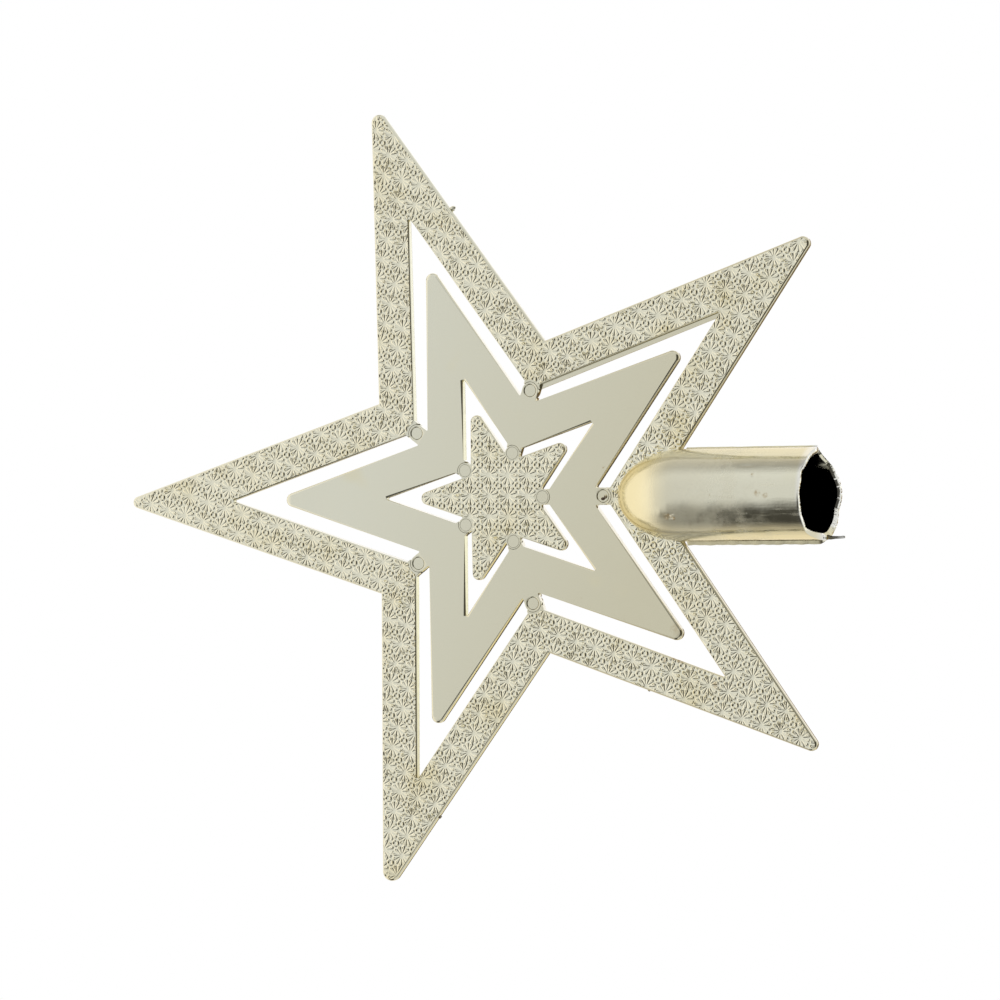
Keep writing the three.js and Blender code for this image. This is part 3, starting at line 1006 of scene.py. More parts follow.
def socket_material(scene):
    """The socket's metal thins out towards its nose, its lacquer is thicker there, and its bore is painted
    near black as shade.
    """
    finish = scene.topper_finish
    material, nodes = shared_material("socket_metallised_gold")
    if nodes:
        shader = gold_shader(nodes, finish, SOCKET_GOLD)
        x, y, z = nodes.split(nodes.place())
        # The faces inside the bore, which get painted shade
        inside = painted_bore_shade_mask(nodes, x, y)
        drawn = streaks(nodes)
        nodes.join(socket_metal(nodes, finish, z, inside), shader.inputs["Metallic"])
        tone = shader.inputs["Base Color"].links[0].from_socket
        nodes.join(socket_tone(nodes, finish, tone, (x, y, z), inside), shader.inputs["Base Color"])
        dull = nodes.between(z, *DULL_NOSE)
        scratched = nodes.between(drawn, *ROUGH_STREAKS)
        scratched = nodes.math("MULTIPLY", scratched, nodes.between(z, *STREAKS_FADE))
        rough = shader.inputs["Roughness"].links[0].from_socket
        rough = nodes.math("ADD", nodes.math("ADD", rough, dull), scratched)
        nodes.join(rough, shader.inputs["Roughness"])
        mottled = shader.inputs["Normal"].links[0].from_socket
        mottled = nodes.bump(nodes.noise(*MOTTLE_NOISE), MOTTLE_DEPTH, mottled)
        drawn = nodes.math("MULTIPLY", drawn, nodes.between(z, *DEEP_STREAKS))
        nodes.join(nodes.bump(drawn, STREAK_DEPTH, mottled), shader.inputs["Normal"])
    return material


def socket_metal(nodes, finish, z, inside):
    """How much metal covers the socket's plastic."""
    drift = nodes.between(nodes.noise(*DRIFT_NOISE), *DRIFT)
    thin = nodes.between(nodes.math("ADD", z, drift), *THINNING, 1.0, finish.nose_metal)
    covered = nodes.math("MAXIMUM", thin, nodes.between(z, *RESTORED))
    # The bore is full metal, so that its painted shade shows as a near-black mirror.
    return nodes.math("MAXIMUM", covered, inside)


def socket_tone(nodes, finish, tone, place, inside):
    """The gold under thick lacquer on the nose, the same warmer gold as painted reflection towards the
    seams, the bare rim, and the bore painted near black as shade.
    """
    x, y, z = place
    # Painted reflection: warmer gold on the tube's sides near the seams.
    side = nodes.between(nodes.math("ABSOLUTE", y), *PAINTED_REFLECTION_AT_SEAMS)
    lacquer = nodes.math("MAXIMUM", nodes.between(z, *THICK_ON_NOSE), side)
    tone = nodes.mix(lacquer, tone, tuple(finish.lacquer))
    over_rim = nodes.math("ADD", z, nodes.between(y, *LESS_BEHIND))
    over_rim = nodes.math("ADD", over_rim, nodes.between(x, *LESS_IN_CORNER))
    tone = nodes.mix(nodes.between(over_rim, *BARE_AT_RIM), tone, tuple(finish.bare_rim))
    # Painted shade: the faces inside the bore take the near-black bore colour.
    return nodes.mix(inside, tone, tuple(finish.bore))


def streaks(nodes):
    """Fine streaks along the socket."""
    stretched = nodes.add("ShaderNodeMapping")
    nodes.join(nodes.place(), stretched.inputs["Vector"])
    stretched.inputs["Scale"].default_value = STREAK_STRETCH
    return nodes.noise(*STREAK_NOISE, place=stretched.outputs[0])


def painted_bore_shade_mask(nodes, x, y):
    """One on the faces that look towards the socket's axis, where the bore's shade is painted, and none on
    the others.
    """
    across = nodes.add("ShaderNodeCombineXYZ")
    nodes.join(x, across.inputs[0])
    nodes.join(y, across.inputs[1])
    unit = nodes.add("ShaderNodeVectorMath", operation="NORMALIZE")
    nodes.join(across.outputs[0], unit.inputs[0])
    facing = nodes.add("ShaderNodeNewGeometry").outputs["True Normal"]
    return nodes.between(nodes.vector_math("DOT_PRODUCT", facing, unit.outputs[0]), *FACING_IN)


# The flash's metal, and where its flecks of metal show and shine
FLASH_METAL = 0.4
FLECKS = (0.5, 0.62)
FLECK_GLOSS = (0.0, 1.0, 0.5, 0.25)
FLASH_BUMPS = 0.02 * MM


def flash_and_pin_shade_material(scene):
    """Dark brown flash: rough plastic with traces of metal. The same dark brown also paints shade on the
    lowest pin.
    """
    finish = scene.topper_finish
    material, nodes = shared_material("dark_flash")
    if nodes:
        shader = nodes.add("ShaderNodeBsdfPrincipled")
        shader.inputs["Metallic"].default_value = FLASH_METAL
        flecks = nodes.between(nodes.noise(*FLECK_NOISE), *FLECKS)
        nodes.join(nodes.mix(flecks, tuple(finish.flash), tuple(finish.warm)), shader.inputs["Base Color"])
        nodes.join(nodes.between(flecks, *FLECK_GLOSS), shader.inputs["Roughness"])
        nodes.join(nodes.bump(nodes.noise(*FLASH_NOISE), FLASH_BUMPS), shader.inputs["Normal"])
        nodes.surface(shader.outputs["BSDF"])
    return material


# The socket

# Fineness of the shells: rows along the skin, on the nose and along the lining, and steps round a half
SKIN_ROWS = 140
NOSE_ROWS = 60
LINING_ROWS = 12
HALF_TURN_STEPS = 200


def nose_points(radius, straight, tip, shoulder, rows):
    """The nose's outline, part of an ellipse whose middle lies under the shoulder."""
    tall = tip - straight + shoulder
    wide = radius / math.sqrt(1 - (shoulder / tall) ** 2)
    first = math.asin(shoulder / tall)
    points = []
    for row in range(rows + 1):
        turn = first + (math.pi / 2 - first) * row / rows
        points.append((wide * math.cos(turn), straight - shoulder + tall * math.sin(turn)))
    return points


# Marks on the socket's skin: place in millimetres, depth, and reach across and along
DENTS = (
    ((-3.0, -8.17, 30.2), -0.05, 0.6, 0.2),
    ((-3.9, -7.78, 29.1), 0.2, 0.45, 0.65),
    ((-4.2, -7.62, 28.0), 0.13, 0.25, 0.55),
    ((-3.9, -7.78, 28.4), 0.1, 0.35, 0.3),
    ((-3.5, -7.96, 27.9), 0.07, 0.2, 0.45),
    ((3.4, -8.0, 11.9), 0.06, 0.15, 0.45),
    ((5.3, -6.9, 13.2), 0.03, 0.3, 1.6),
    ((-4.6, -7.4, 21.0), 0.025, 0.4, 1.2),
)
# Where a dent is too shallow to count, in its reach squared
DENT_END = 9
# The nose's skin wanders less within this distance of the axis.
STEADY_TIP = 2 * MM
# How uneven the seam ribs are and how fast their two waves run with height in millimetres, where
# their flanks lie in shares of their half thickness, and the heights between which they rise
RIB_UNEVENNESS = 0.08
RIB_WAVES = (2.1, 0.7)
RIB_FLANK = (0.95, 1.3)
RIB_START = (0.2 * MM, 1.8 * MM)


# Waves in the skin: how fast each runs with height in millimetres and with turn, where the slow
# one starts, and how strong the others are
SLOW_WAVE = (0.55, 2)
SLOW_START = (1.3, 0.4)
TWISTED_WAVE = (1.05, 3)
TWISTED_SHARE = 0.6
CROSS_WAVE = (0.3, 5)
CROSS_SHARE = 0.5
SKIN_SWING = 0.5


def skin_wander(socket, turn, height, side):
    """How far the socket's skin lies out of its true round at a place, in metres."""
    z = height / MM
    slow = math.sin(SLOW_WAVE[0] * z + SLOW_START[0]) * math.cos(SLOW_WAVE[1] * turn + SLOW_START[1])
    twisted = TWISTED_SHARE * math.sin(TWISTED_WAVE[0] * z + TWISTED_WAVE[1] * turn)
    cross = CROSS_SHARE * math.cos(CROSS_WAVE[1] * turn - CROSS_WAVE[0] * z)
    wander = socket.unevenness * SKIN_SWING * (slow + (twisted + cross))
    radius = socket.radius / MM
    for (x, y, level), depth, across, along in DENTS:
        if y * side < 0:
            continue
        apart = (turn - math.atan2(abs(y), x)) * radius
        squared = (apart / across) ** 2 + ((z - level) / along) ** 2
        if squared < DENT_END:
            wander -= depth * MM * math.exp(-squared)
    return wander


def rib_rise(socket, turn, height):
    """How far the seam rib stands out of the skin near the parting plane."""
    apart = abs(math.sin(turn)) * socket.radius / socket.rib_half
    if apart > RIB_FLANK[1] or height > socket.rib_top:
        return 0.0
    out = socket.rib_upper if math.cos(turn) > 0 else socket.rib_lower
    z = height / MM
    uneven = 1 - RIB_UNEVENNESS + RIB_UNEVENNESS * math.sin(z * RIB_WAVES[0]) * math.cos(z * RIB_WAVES[1])
    return out * uneven * (1 - smooth_rise(apart, *RIB_FLANK)) * smooth_rise(height, *RIB_START)


# The rim's outline. Outside: how far each point lies in from the skin and over the mouth, and
# whether it is on the skin. Inside: how far each point stays from the widest, and over the mouth.
RIM_OUTSIDE = (
    (0.14 * MM, 0.0, False),
    (0.03 * MM, 0.08 * MM, True),
)
SKIN_START = 0.1 * MM
RIM_INSIDE = (
    (0.14 * MM, 0.12 * MM),
    (0.08 * MM, -0.04 * MM),
    (0.04 * MM, 0.0),
)
# The points' places inside the rim: a share of the lead-in, and two shares of the wall
RIM_LEAD_IN = 0.6
RIM_WALL = (0.5, 0.72)
WIDEST_RIM = 0.93


def shell_profile(socket, mouth, jitter, flare):
    """One shell's closed outline in radius and height, and whether each point lies on the skin."""
    bore = socket.radius - socket.wall
    thin = flare * socket.flare * socket.wall
    outside = [(socket.radius - inset, mouth + over, on_skin) for inset, over, on_skin in RIM_OUTSIDE]
    start = mouth + SKIN_START
    for row in range(1, SKIN_ROWS):
        outside.append((socket.radius, start + (socket.straight - start) * row / SKIN_ROWS, True))
    tip = socket.straight + socket.nose
    nose = nose_points(socket.radius, socket.straight, tip, socket.shoulder, NOSE_ROWS)
    outside += [(radius, height, True) for radius, height in nose]
    lining = nose_points(bore, socket.straight, tip - socket.wall, socket.shoulder, LINING_ROWS)
    inside = [(radius, height, False) for radius, height in reversed(lining)]
    low = mouth + socket.lead_in
    for row in range(1, LINING_ROWS + 1):
        height = socket.straight + (low - socket.straight) * row / LINING_ROWS
        inside.append((bore + thin * max(0.0, 1 - (height - low) / socket.flare_height), height, False))
    widest = WIDEST_RIM * socket.wall
    steps = [socket.lead_in * RIM_LEAD_IN] + [socket.wall * part for part in RIM_WALL]
    for step, (room, over), wander in zip(steps, RIM_INSIDE, jitter):
        inside.append((bore + min(step + thin, widest - room), mouth + over + wander, False))
    return outside + inside


# The mouth by turn, from the +X seam at 0 to the -X seam at half a turn.
# The front mouth leans, has a notch (height, turn and width), and rises at one corner and falls at
# the other (height, and the turns between which it does). The back mouth is raised past its middle.
# Both wander in a quick wave, by its speed and start, under a slower one, by its speed.
FRONT_LEAN = 0.35 * MM
FRONT_NOTCH = (0.25 * MM, 1.05, 0.12)
FRONT_RISE = (0.4 * MM, 0.0, 0.2)
FRONT_FALL = (1.45 * MM, 2.5, 3.1)
FRONT_WANDER = 0.08 * MM
FRONT_WAVES = (9, 0.6, 4)
BACK_CHIP = (0.45, 1.5)
BACK_RAISED = (0.35 * MM, 1.65, 2.0)
BACK_WANDER = 0.1 * MM
BACK_WAVES = (7, 1.2, 3)
# Where the back wall's worn part ends
FLARE_ENDS = (0.75, 1.15)
# How ragged the rims are, and how much of that moves the whole rim up and down
FRONT_RAGGED = 0.02 * MM
BACK_RAGGED = 0.04 * MM
RAGGED_MOUTH = 0.5
RIM_SEED = 11


def mouth_wave(waves, turn):
    """A quick wave under a slower one, between -1 and 1."""
    quick, start, slow = waves
    return math.sin(quick * turn + start) * math.cos(slow * turn)


def front_mouth(socket, turn):
    """Height of the front shell's mouth."""
    deep, middle, width = FRONT_NOTCH
    notch = deep * math.exp(-((turn - middle) / width) ** 2)
    notch += FRONT_RISE[0] * (1 - smooth_rise(turn, *FRONT_RISE[1:]))
    notch -= FRONT_FALL[0] * smooth_rise(turn, *FRONT_FALL[1:])
    wander = FRONT_WANDER * mouth_wave(FRONT_WAVES, turn)
    return socket.lip - FRONT_LEAN * math.cos(turn) + socket.rake * math.sin(turn) + notch + wander


def back_mouth(socket, turn):
    """Height of the back shell's mouth."""
    chip = socket.chip * (1 - smooth_rise(turn, *BACK_CHIP))
    raised = BACK_RAISED[0] * smooth_rise(turn, *BACK_RAISED[1:])
    wander = BACK_WANDER * (1 + mouth_wave(BACK_WAVES, turn))
    return chip + raised + wander


def half_shell(socket, side, mouth_at, ragged):
    """Half of the socket, in front of the parting plane for side -1 and behind it for side 1."""
    random = np.random.default_rng(RIM_SEED + side)
    rim = random.normal(0, ragged, (HALF_TURN_STEPS + 1, 4))
    bm = bmesh.new()
    strips = []
    for step in range(HALF_TURN_STEPS + 1):
        turn = math.pi * step / HALF_TURN_STEPS
        mouth = mouth_at(socket, turn) + rim[step, 3] * RAGGED_MOUTH
        flare = (1 - smooth_rise(turn, *FLARE_ENDS)) if side > 0 else 0.0
        strip = []
        for radius, height, on_skin in shell_profile(socket, mouth, rim[step], flare):
            if on_skin:
                fade = min(1.0, radius / STEADY_TIP)
                radius += skin_wander(socket, turn, height, side) * fade + rib_rise(socket, turn, height)
            place = (radius * math.cos(turn), side * radius * math.sin(turn), height)
            strip.append(bm.verts.new(place))
        strips.append(strip)
    for first, second in zip(strips, strips[1:]):
        close_ring(bm, first, second)
    bm.faces.new(strips[0])
    bm.faces.new(strips[-1])
    return whole(bm)


# Flash: the waves in a burr's skin, their greatest number, phase and swell, and how fine they are
BURR_WAVES = 5
BURR_WAVE_NUMBER = 2.2
BURR_PHASE = 6.28
BURR_SWELL = 0.16
BURR_FINENESS = 1.6
# Corners of a spike's section, in its half width
SPIKE_CORNERS = ((-1.0, -0.4), (0.7, -0.6), (1.0, 0.5), (-0.6, 0.7))


def burr(name, place, size, seed, material):
    """A small irregular lump of flash, by its place and half sizes in millimetres."""
    random = np.random.default_rng(seed)
    waves = random.uniform(-BURR_WAVE_NUMBER, BURR_WAVE_NUMBER, (BURR_WAVES, 3))
    phases = random.uniform(0, BURR_PHASE, BURR_WAVES)
    bm = bmesh.new()
    bmesh.ops.create_icosphere(bm, subdivisions=4, radius=1.0)
    for vert in bm.verts:
        swell = sum(math.sin(vert.co.dot(Vector(wave)) * BURR_FINENESS + phase)
                    for wave, phase in zip(waves, phases))
        swell = 1 + BURR_SWELL * swell
        vert.co = Vector([(vert.co[axis] * size[axis] * swell + place[axis]) * MM for axis in range(3)])
    return new_piece(name, bm, material)


def spike(name, path, material):
    """A thin bent spike of flash, from [x, y, z, half width] rows in millimetres."""
    bm = bmesh.new()
    rings = []
    for x, y, z, half in path:
        places = [Vector((x + dx * half, y + dy * half, z)) * MM for dx, dy in SPIKE_CORNERS]
        rings.append([bm.verts.new(place) for place in places])
    for first, second in zip(rings, rings[1:]):
        close_ring(bm, first, second)
    bm.faces.new(rings[0])
    bm.faces.new(rings[-1])
    return new_piece(name, whole(bm), material)


# One operator for each piece or group of like pieces

# Room left round a star or an arm when it is searched for its edge, in millimetres
BOX_MARGIN = 1


def star_reach(line):
    """How far from the centre a star's tips may lie, in millimetres."""
    return line / MM / math.cos(ARM_ANGLE) + BOX_MARGIN


def socket_room(points, socket, stars, radius):
    """Signed distance from the round-nosed outline of the socket in the plates' plane."""
    base = (socket.straight - stars.centre_height) / MM
    reach = (socket.nose - (socket.radius - radius)) / MM
    height = np.maximum(points[:, 1] - base, 0) * (radius / MM) / reach
    return np.hypot(points[:, 0], height) - radius / MM


def outer_edge(points, stars):
    """Signed distance from the outer star's outline. Each arm's tip has its own radius."""
    turn = np.arctan2(-points[:, 0], points[:, 1])
    arm_at = np.round(turn / ARM_ANGLE).astype(int) % ARMS
    distance = np.empty(len(points))
    for arm, tip_round in enumerate(stars.tip_rounds):
        here = arm_at == arm
        distance[here] = star_distance(points[here], stars.outer_line, tip_round, arm_leans(stars))
    return distance


def outer_band(points, stars):
    """Signed distance from the outer star's band, between its outline and its window."""
    lowered = points - [0.0, stars.window_rise / MM]
    window = star_distance(lowered, stars.outer_window, leans=arm_leans(stars))
    return np.maximum(outer_edge(points, stars), -window)


# The arm whose window keeps a ledge of flash, how far the ledge runs into the band and past the
# tip, and where it starts past the notch, in millimetres
LEDGE_ARM = 3
LEDGE_SET_IN = 0.5
LEDGE_START = 0.4


def window_flash(points, stars):
    """A thin ledge of flash along the outer side of one lower arm's window."""
    corners = star_outline(stars.outer_window / MM, arm_leans(stars)) + [0.0, stars.window_rise / MM]
    tip = corners[2 * LEDGE_ARM]
    notch = corners[2 * LEDGE_ARM + 1]
    run = tip - notch
    span = np.linalg.norm(run)
    along = run / span
    inward = np.array([along[1], -along[0]])
    if inward @ (corners.mean(0) - notch) < 0:
        inward = -inward
    offset = points - notch
    reached = offset @ along
    parts = [
        offset @ inward - stars.window_ledge / MM,
        -offset @ inward - LEDGE_SET_IN,
        LEDGE_START - reached,
        reached - span - LEDGE_SET_IN,
    ]
    return np.maximum(np.max(parts, axis=0), outer_edge(points, stars))


def middle_band(points, stars):
    """Signed distance from the middle star's band, between its outline and its window."""
    outline = star_distance(points, stars.middle_line, stars.middle_tip_round)
    return np.maximum(outline, -star_distance(points, stars.middle_window))


class TOPPER_OT_outer_star(bpy.types.Operator):
    """Build the outer star's plate with its ledges and the slot for the socket"""

    bl_idname = "topper.outer_star"
    bl_label = "Outer star"

    def execute(self, context):
        scene = context.scene
        stars = scene.topper_stars
        joints = scene.topper_joints
        socket = scene.topper_socket
        bore = socket.radius - socket.wall
        pins = joints.outer_radius
        tab = joints.outer_tab

        def back(points):
            band = np.minimum(outer_band(points, stars), window_flash(points, stars))
            band = with_tabs(band, points, stars.outer_window, pins, tab, False)
            band = np.maximum(band, outside_pins(points, pins, joints.tail_radius + joints.seam))
            return np.maximum(band, -socket_room(points, socket, stars, bore))

        def front(points):
            band = with_tabs(outer_band(points, stars), points, stars.outer_window, pins, tab, False)
            band = without_tabs(band, points, pins, tab, joints.seam, False)
            return np.maximum(band, -socket_room(points, socket, stars, bore))

        bevel = joint_bevel(stars, joints, [pins])
        plate_piece("outer_star_plate", stars, front, back, star_reach(stars.outer_line), bevel,
                    smooth_material(scene), ["outer_star"])
        return {"FINISHED"}


class TOPPER_OT_outer_pattern(bpy.types.Operator):
    """Emboss each arm of the outer star with flowers and rings"""

    bl_idname = "topper.outer_pattern"
    bl_label = "Outer star's pattern"

    def execute(self, context):
        scene = context.scene
        stars = scene.topper_stars
        pattern = scene.topper_pattern
        joints = scene.topper_joints
        socket = scene.topper_socket
        material = pattern_material(scene)
        middle_of_wall = socket.radius - socket.wall / 2
        outline = star_outline(stars.outer_line / MM, arm_leans(stars))
        window = star_outline(stars.outer_window / MM, arm_leans(stars))
        for arm in range(ARMS):
            left = -direction((arm + 0.5) * ARM_ANGLE - math.pi / 2)
            right = -direction((arm - 0.5) * ARM_ANGLE + math.pi / 2)

            def region(points, left=left, right=right):
                parts = [
                    outer_band(points, stars) + pattern.margin / MM,
                    outer_edge(points, stars) + pattern.outer_margin / MM,
                    points @ left,
                    points @ right,
                    outside_pins(points, joints.outer_radius, joints.outer_room),
                    -socket_room(points, socket, stars, middle_of_wall),
                ]
                return np.max(parts, axis=0)

            corners = [outline[2 * arm - 1], outline[2 * arm], outline[2 * arm + 1]]
            corners = np.array(corners + [window[2 * arm - 1], window[2 * arm + 1]])
            box = (corners.min(0) - BOX_MARGIN, corners.max(0) + BOX_MARGIN)
            pitch = ARM_LATTICES[arm].pitch

            def height(points, pitch=pitch):
                return pattern_height(outer_cells(points), pitch, pattern) * wear(points)

            pattern_piece(f"outer_star_flowers_{arm + 1}", stars, pattern, region, box, height, material)
        return {"FINISHED"}


class TOPPER_OT_middle_star(bpy.types.Operator):
    """Build the smooth middle star with its tongues and ledges"""

    bl_idname = "topper.middle_star"
    bl_label = "Middle star"

    def execute(self, context):
        scene = context.scene
        stars = scene.topper_stars
        joints = scene.topper_joints
        outer = joints.outer_radius
        inner = joints.inner_radius

        def tabbed(points):
            band = middle_band(points, stars)
            band = with_tabs(band, points, stars.middle_line, outer, joints.outer_tab, True)
            return with_tabs(band, points, stars.middle_window, inner, joints.inner_tab, False)

        def back(points):
            band = without_tabs(tabbed(points), points, outer, joints.outer_tab, joints.seam, True)
            return np.maximum(band, outside_pins(points, inner, joints.tail_radius + joints.seam))

        def front(points):
            band = without_tabs(tabbed(points), points, inner, joints.inner_tab, joints.seam, False)
            return np.maximum(band, outside_pins(points, outer, joints.head_radius + joints.seam))

        bevel = joint_bevel(stars, joints, [outer, inner], ringed=True)
        plate_piece("middle_star_plate", stars, front, back, star_reach(stars.middle_line), bevel,
                    smooth_material(scene), ["middle_star"])
        return {"FINISHED"}


class TOPPER_OT_inner_star(bpy.types.Operator):
    """Build the inner star and its embossed front"""

    bl_idname = "topper.inner_star"
    bl_label = "Inner star"

    def execute(self, context):
        scene = context.scene
        stars = scene.topper_stars
        pattern = scene.topper_pattern
        joints = scene.topper_joints
        pins = joints.inner_radius
        tab = joints.inner_tab

        def outline(points):
            return star_distance(points, stars.inner_line, stars.inner_tip_round)

        def tabbed(points):
            return with_tabs(outline(points), points, stars.inner_line, pins, tab, True)

        def back(points):
            return without_tabs(tabbed(points), points, pins, tab, joints.seam, True)

        def front(points):
            room = joints.head_radius + joints.hairline
            return np.maximum(tabbed(points), outside_pins(points, pins, room))

        def embossed(points):
            inside = outline(points) + pattern.margin / MM
            return np.maximum(inside, outside_pins(points, pins, joints.inner_room))

        def height(points):
            return pattern_height(INNER_LATTICE.cells(points), INNER_LATTICE.pitch, pattern)

        reach = star_reach(stars.inner_line)
        plate_piece("inner_star_plate", stars, front, back, reach, joint_bevel(stars, joints, [pins]),
                    smooth_material(scene), ["inner_star"])
        box = ((-reach, -reach), (reach, reach))
        pattern_piece("inner_star_flowers", stars, pattern, embossed, box, height, pattern_material(scene))
        return {"FINISHED"}


# How round the pins' edges are, and where the rounding has its middle point
OUTER_PIN_SOFT = 0.05 * MM
INNER_PIN_SOFT = 0.01 * MM
SOFT_MIDDLE = 0.3
PIN_STEPS = 48


def pin_profile(joints, face, back, recess, soft):
    """A headed pin's outline in radius and Y, with its head under the face and its tail at the back."""
    front = face + recess
    seat = face + joints.head_height
    tail = back - joints.tail_height
    return [
        (0.0, front),
        (joints.head_radius - soft, front),
        (joints.head_radius - soft * SOFT_MIDDLE, front + soft * SOFT_MIDDLE),
        (joints.head_radius, front + soft),
        (joints.head_radius, seat),
        (joints.shank_radius, seat),
        (joints.shank_radius, tail),
        (joints.tail_radius, tail),
        (joints.tail_radius, back - soft),
        (joints.tail_radius - soft, back),
        (0.0, back),
    ]


class TOPPER_OT_joint_pins(bpy.types.Operator):
    """Build the pins that hold the stars' tabs together"""

    bl_idname = "topper.joint_pins"
    bl_label = "Joint pins"

    def execute(self, context):
        scene = context.scene
        stars = scene.topper_stars
        joints = scene.topper_joints
        material = smooth_material(scene)
        kinds = (
            ("outer_joint_pin", joints.outer_radius, joints.head_recess, OUTER_PIN_SOFT),
            ("inner_joint_pin", joints.inner_radius, 0.0, INNER_PIN_SOFT),
        )
        for prefix, reach, recess, soft in kinds:
            profile = pin_profile(joints, -stars.half_thickness, stars.half_thickness, recess, soft)
            for arm in range(ARMS):
                across, up = direction((arm + 0.5) * ARM_ANGLE) * reach
                centre = Vector((across, 0.0, up + stars.centre_height))
                node = f"{prefix}_{arm + 1}"
                pin = turned(profile, PIN_STEPS, centre)
                new_piece(f"{node}_turned", pin, material, [node], PIN_SHARP)
        return {"FINISHED"}


class TOPPER_OT_socket(bpy.types.Operator):
    """Build the socket's front and back shells with their seam ribs"""

    bl_idname = "topper.socket"
    bl_label = "Socket shells"

    def execute(self, context):
        scene = context.scene
        socket = scene.topper_socket
        material = socket_material(scene)
        front = half_shell(socket, -1, front_mouth, FRONT_RAGGED)
        back = half_shell(socket, 1, back_mouth, BACK_RAGGED)
        new_piece("socket_front", front, material, ["socket_front_shell"])
        new_piece("socket_back", back, material, ["socket_back_shell"], BACK_SHELL_SHARP)
        return {"FINISHED"}


# Left-over flash: place from the star's centre in X and height, and half sizes, in millimetres
EDGE_BURRS = (
    ((55.3, 9.35), (0.35, 0.4, 0.5)),
    ((-60.6, 14.2), (0.35, 0.4, 0.32)),
    ((-61.1, 13.7), (0.25, 0.35, 0.3)),
    ((-35.9, -29.1), (0.3, 0.4, 0.32)),
    ((-36.35, -29.8), (0.3, 0.4, 0.3)),
    ((-36.1, -30.5), (0.2, 0.35, 0.3)),
    ((-36.45, -31.4), (0.28, 0.35, 0.42)),
)
# The first burrs are pale, and the others are dark.
PALE_BURRS = 1
# How far the burrs lie in front of the parting plane, and where their random draws start
BURR_Y = -0.1
BURR_SEED = 3
# Painted shade on the lowest pin, as dark lumps where the gap round its head lies in shade: places and half
# sizes, in millimetres
PIN_SHADE_LUMPS = (
    ((-0.5, -0.82, 44.45), (0.24, 0.12, 0.42)),
    ((-0.12, -0.82, 43.95), (0.4, 0.14, 0.26)),
)
PIN_SHADE_SEED = 23
# The spike at the mouth: X, Y, height and half width, in millimetres
MOUTH_SPIKE = (
    (-8.0, 0.9, 1.3, 0.3),
    (-8.1, 1.0, 0.4, 0.42),
    (-8.2, 1.1, -0.3, 0.34),
    (-8.15, 1.2, -1.1, 0.26),
    (-8.15, 1.3, -1.9, 0.24),
    (-8.1, 1.3, -2.5, 0.26),
    (-8.1, 1.3, -2.9, 0.18),
)


class TOPPER_OT_flash(bpy.types.Operator):
    """Add the burrs on the outer star's edges, dark lumps of painted shade on a pin and the spike at the
    mouth
    """

    bl_idname = "topper.flash"
    bl_label = "Moulding flash"

    def execute(self, context):
        scene = context.scene
        centre = scene.topper_stars.centre_height / MM
        for index, ((across, up), size) in enumerate(EDGE_BURRS):
            material = smooth_material(scene) if index < PALE_BURRS else flash_and_pin_shade_material(scene)
            place = (across, BURR_Y, up + centre)
            burr(f"edge_burr_{index + 1}", place, size, index + BURR_SEED, material)
        # Dark lumps paint the shade in the gap round the lowest pin's head.
        for index, (place, size) in enumerate(PIN_SHADE_LUMPS):
            burr(f"pin_scar_{index + 1}", place, size, index + PIN_SHADE_SEED, flash_and_pin_shade_material(scene))
        spike("mouth_spike", MOUTH_SPIKE, socket_material(scene))
        return {"FINISHED"}


class TOPPER_OT_stage(bpy.types.Operator):
    """Set up the camera, the floor and the soft light"""

    bl_idname = "topper.stage"
    bl_label = "Stage"

    def execute(self, context):
        scene = context.scene
        add_camera(scene)
        add_floor(scene.topper_studio)
        add_surroundings(scene)
        scene.view_settings.view_transform = "Standard"
        return {"FINISHED"}


# Stage


CAMERA_PLACE = Vector((2.38, -797.5, -280.25)) * MM
CAMERA_FORWARD = Vector((-0.0033, 0.9173, 0.39818))
CAMERA_UP = Vector((0.9999, 0.00839, -0.01104))
CAMERA_LENS = 164.4
CAMERA_SENSOR = 36.0
CAMERA_CLIP = (0.01, 50.0)


def add_camera(scene):
    """Looks up at the topper from in front, with its top to the left."""
    data = bpy.data.cameras.new("photo_camera")
    data.lens = CAMERA_LENS
    data.sensor_width = CAMERA_SENSOR
    data.clip_start, data.clip_end = CAMERA_CLIP
    camera = bpy.data.objects.new("photo_camera", data)
    scene.collection.objects.link(camera)
    back = -CAMERA_FORWARD.normalized()
    right = CAMERA_UP.cross(back).normalized()
    up = back.cross(right)
    turn = Matrix((right, up, back)).transposed()
    camera.matrix_world = Matrix.Translation(CAMERA_PLACE) @ turn.to_4x4()
    scene.camera = camera


# The floor's colour, and the glow that keeps it pale to the camera
FLOOR_COLOUR = (0.86, 0.86, 0.85)
FLOOR_GLOW = 0.25


def add_floor(studio):
    """A plain pale floor, which mirror reflections see through."""
    half = studio.floor_size / 2
    bm = bmesh.new()
    places = ((-half, -half), (half, -half), (half, half), (-half, half))
    bm.faces.new([bm.verts.new((x, y, studio.floor_height)) for x, y in places])
    mesh = bpy.data.meshes.new("floor")
    bm.to_mesh(mesh)
    bm.free()
    material = bpy.data.materials.new("pale_floor")
    nodes = Nodes(material)
    path = nodes.add("ShaderNodeLightPath")
    shader = nodes.add("ShaderNodeBsdfDiffuse")
    nodes.feed(FLOOR_COLOUR, shader.inputs["Color"])
    glow = nodes.add("ShaderNodeEmission")
    nodes.join(nodes.math("MULTIPLY", path.outputs["Is Camera Ray"], FLOOR_GLOW), glow.inputs["Strength"])
    both = nodes.add("ShaderNodeAddShader")
    nodes.join(shader.outputs[0], both.inputs[0])
    nodes.join(glow.outputs[0], both.inputs[1])
    clear = nodes.add("ShaderNodeBsdfTransparent")
    nodes.surface(nodes.either(path.outputs["Is Glossy Ray"], both, clear))
    mesh.materials.append(material)
    floor = bpy.data.objects.new("floor", mesh)
    bpy.context.scene.collection.objects.link(floor)


# The surroundings by direction: X from side to side, Y from front (-1) to back (1), Z up

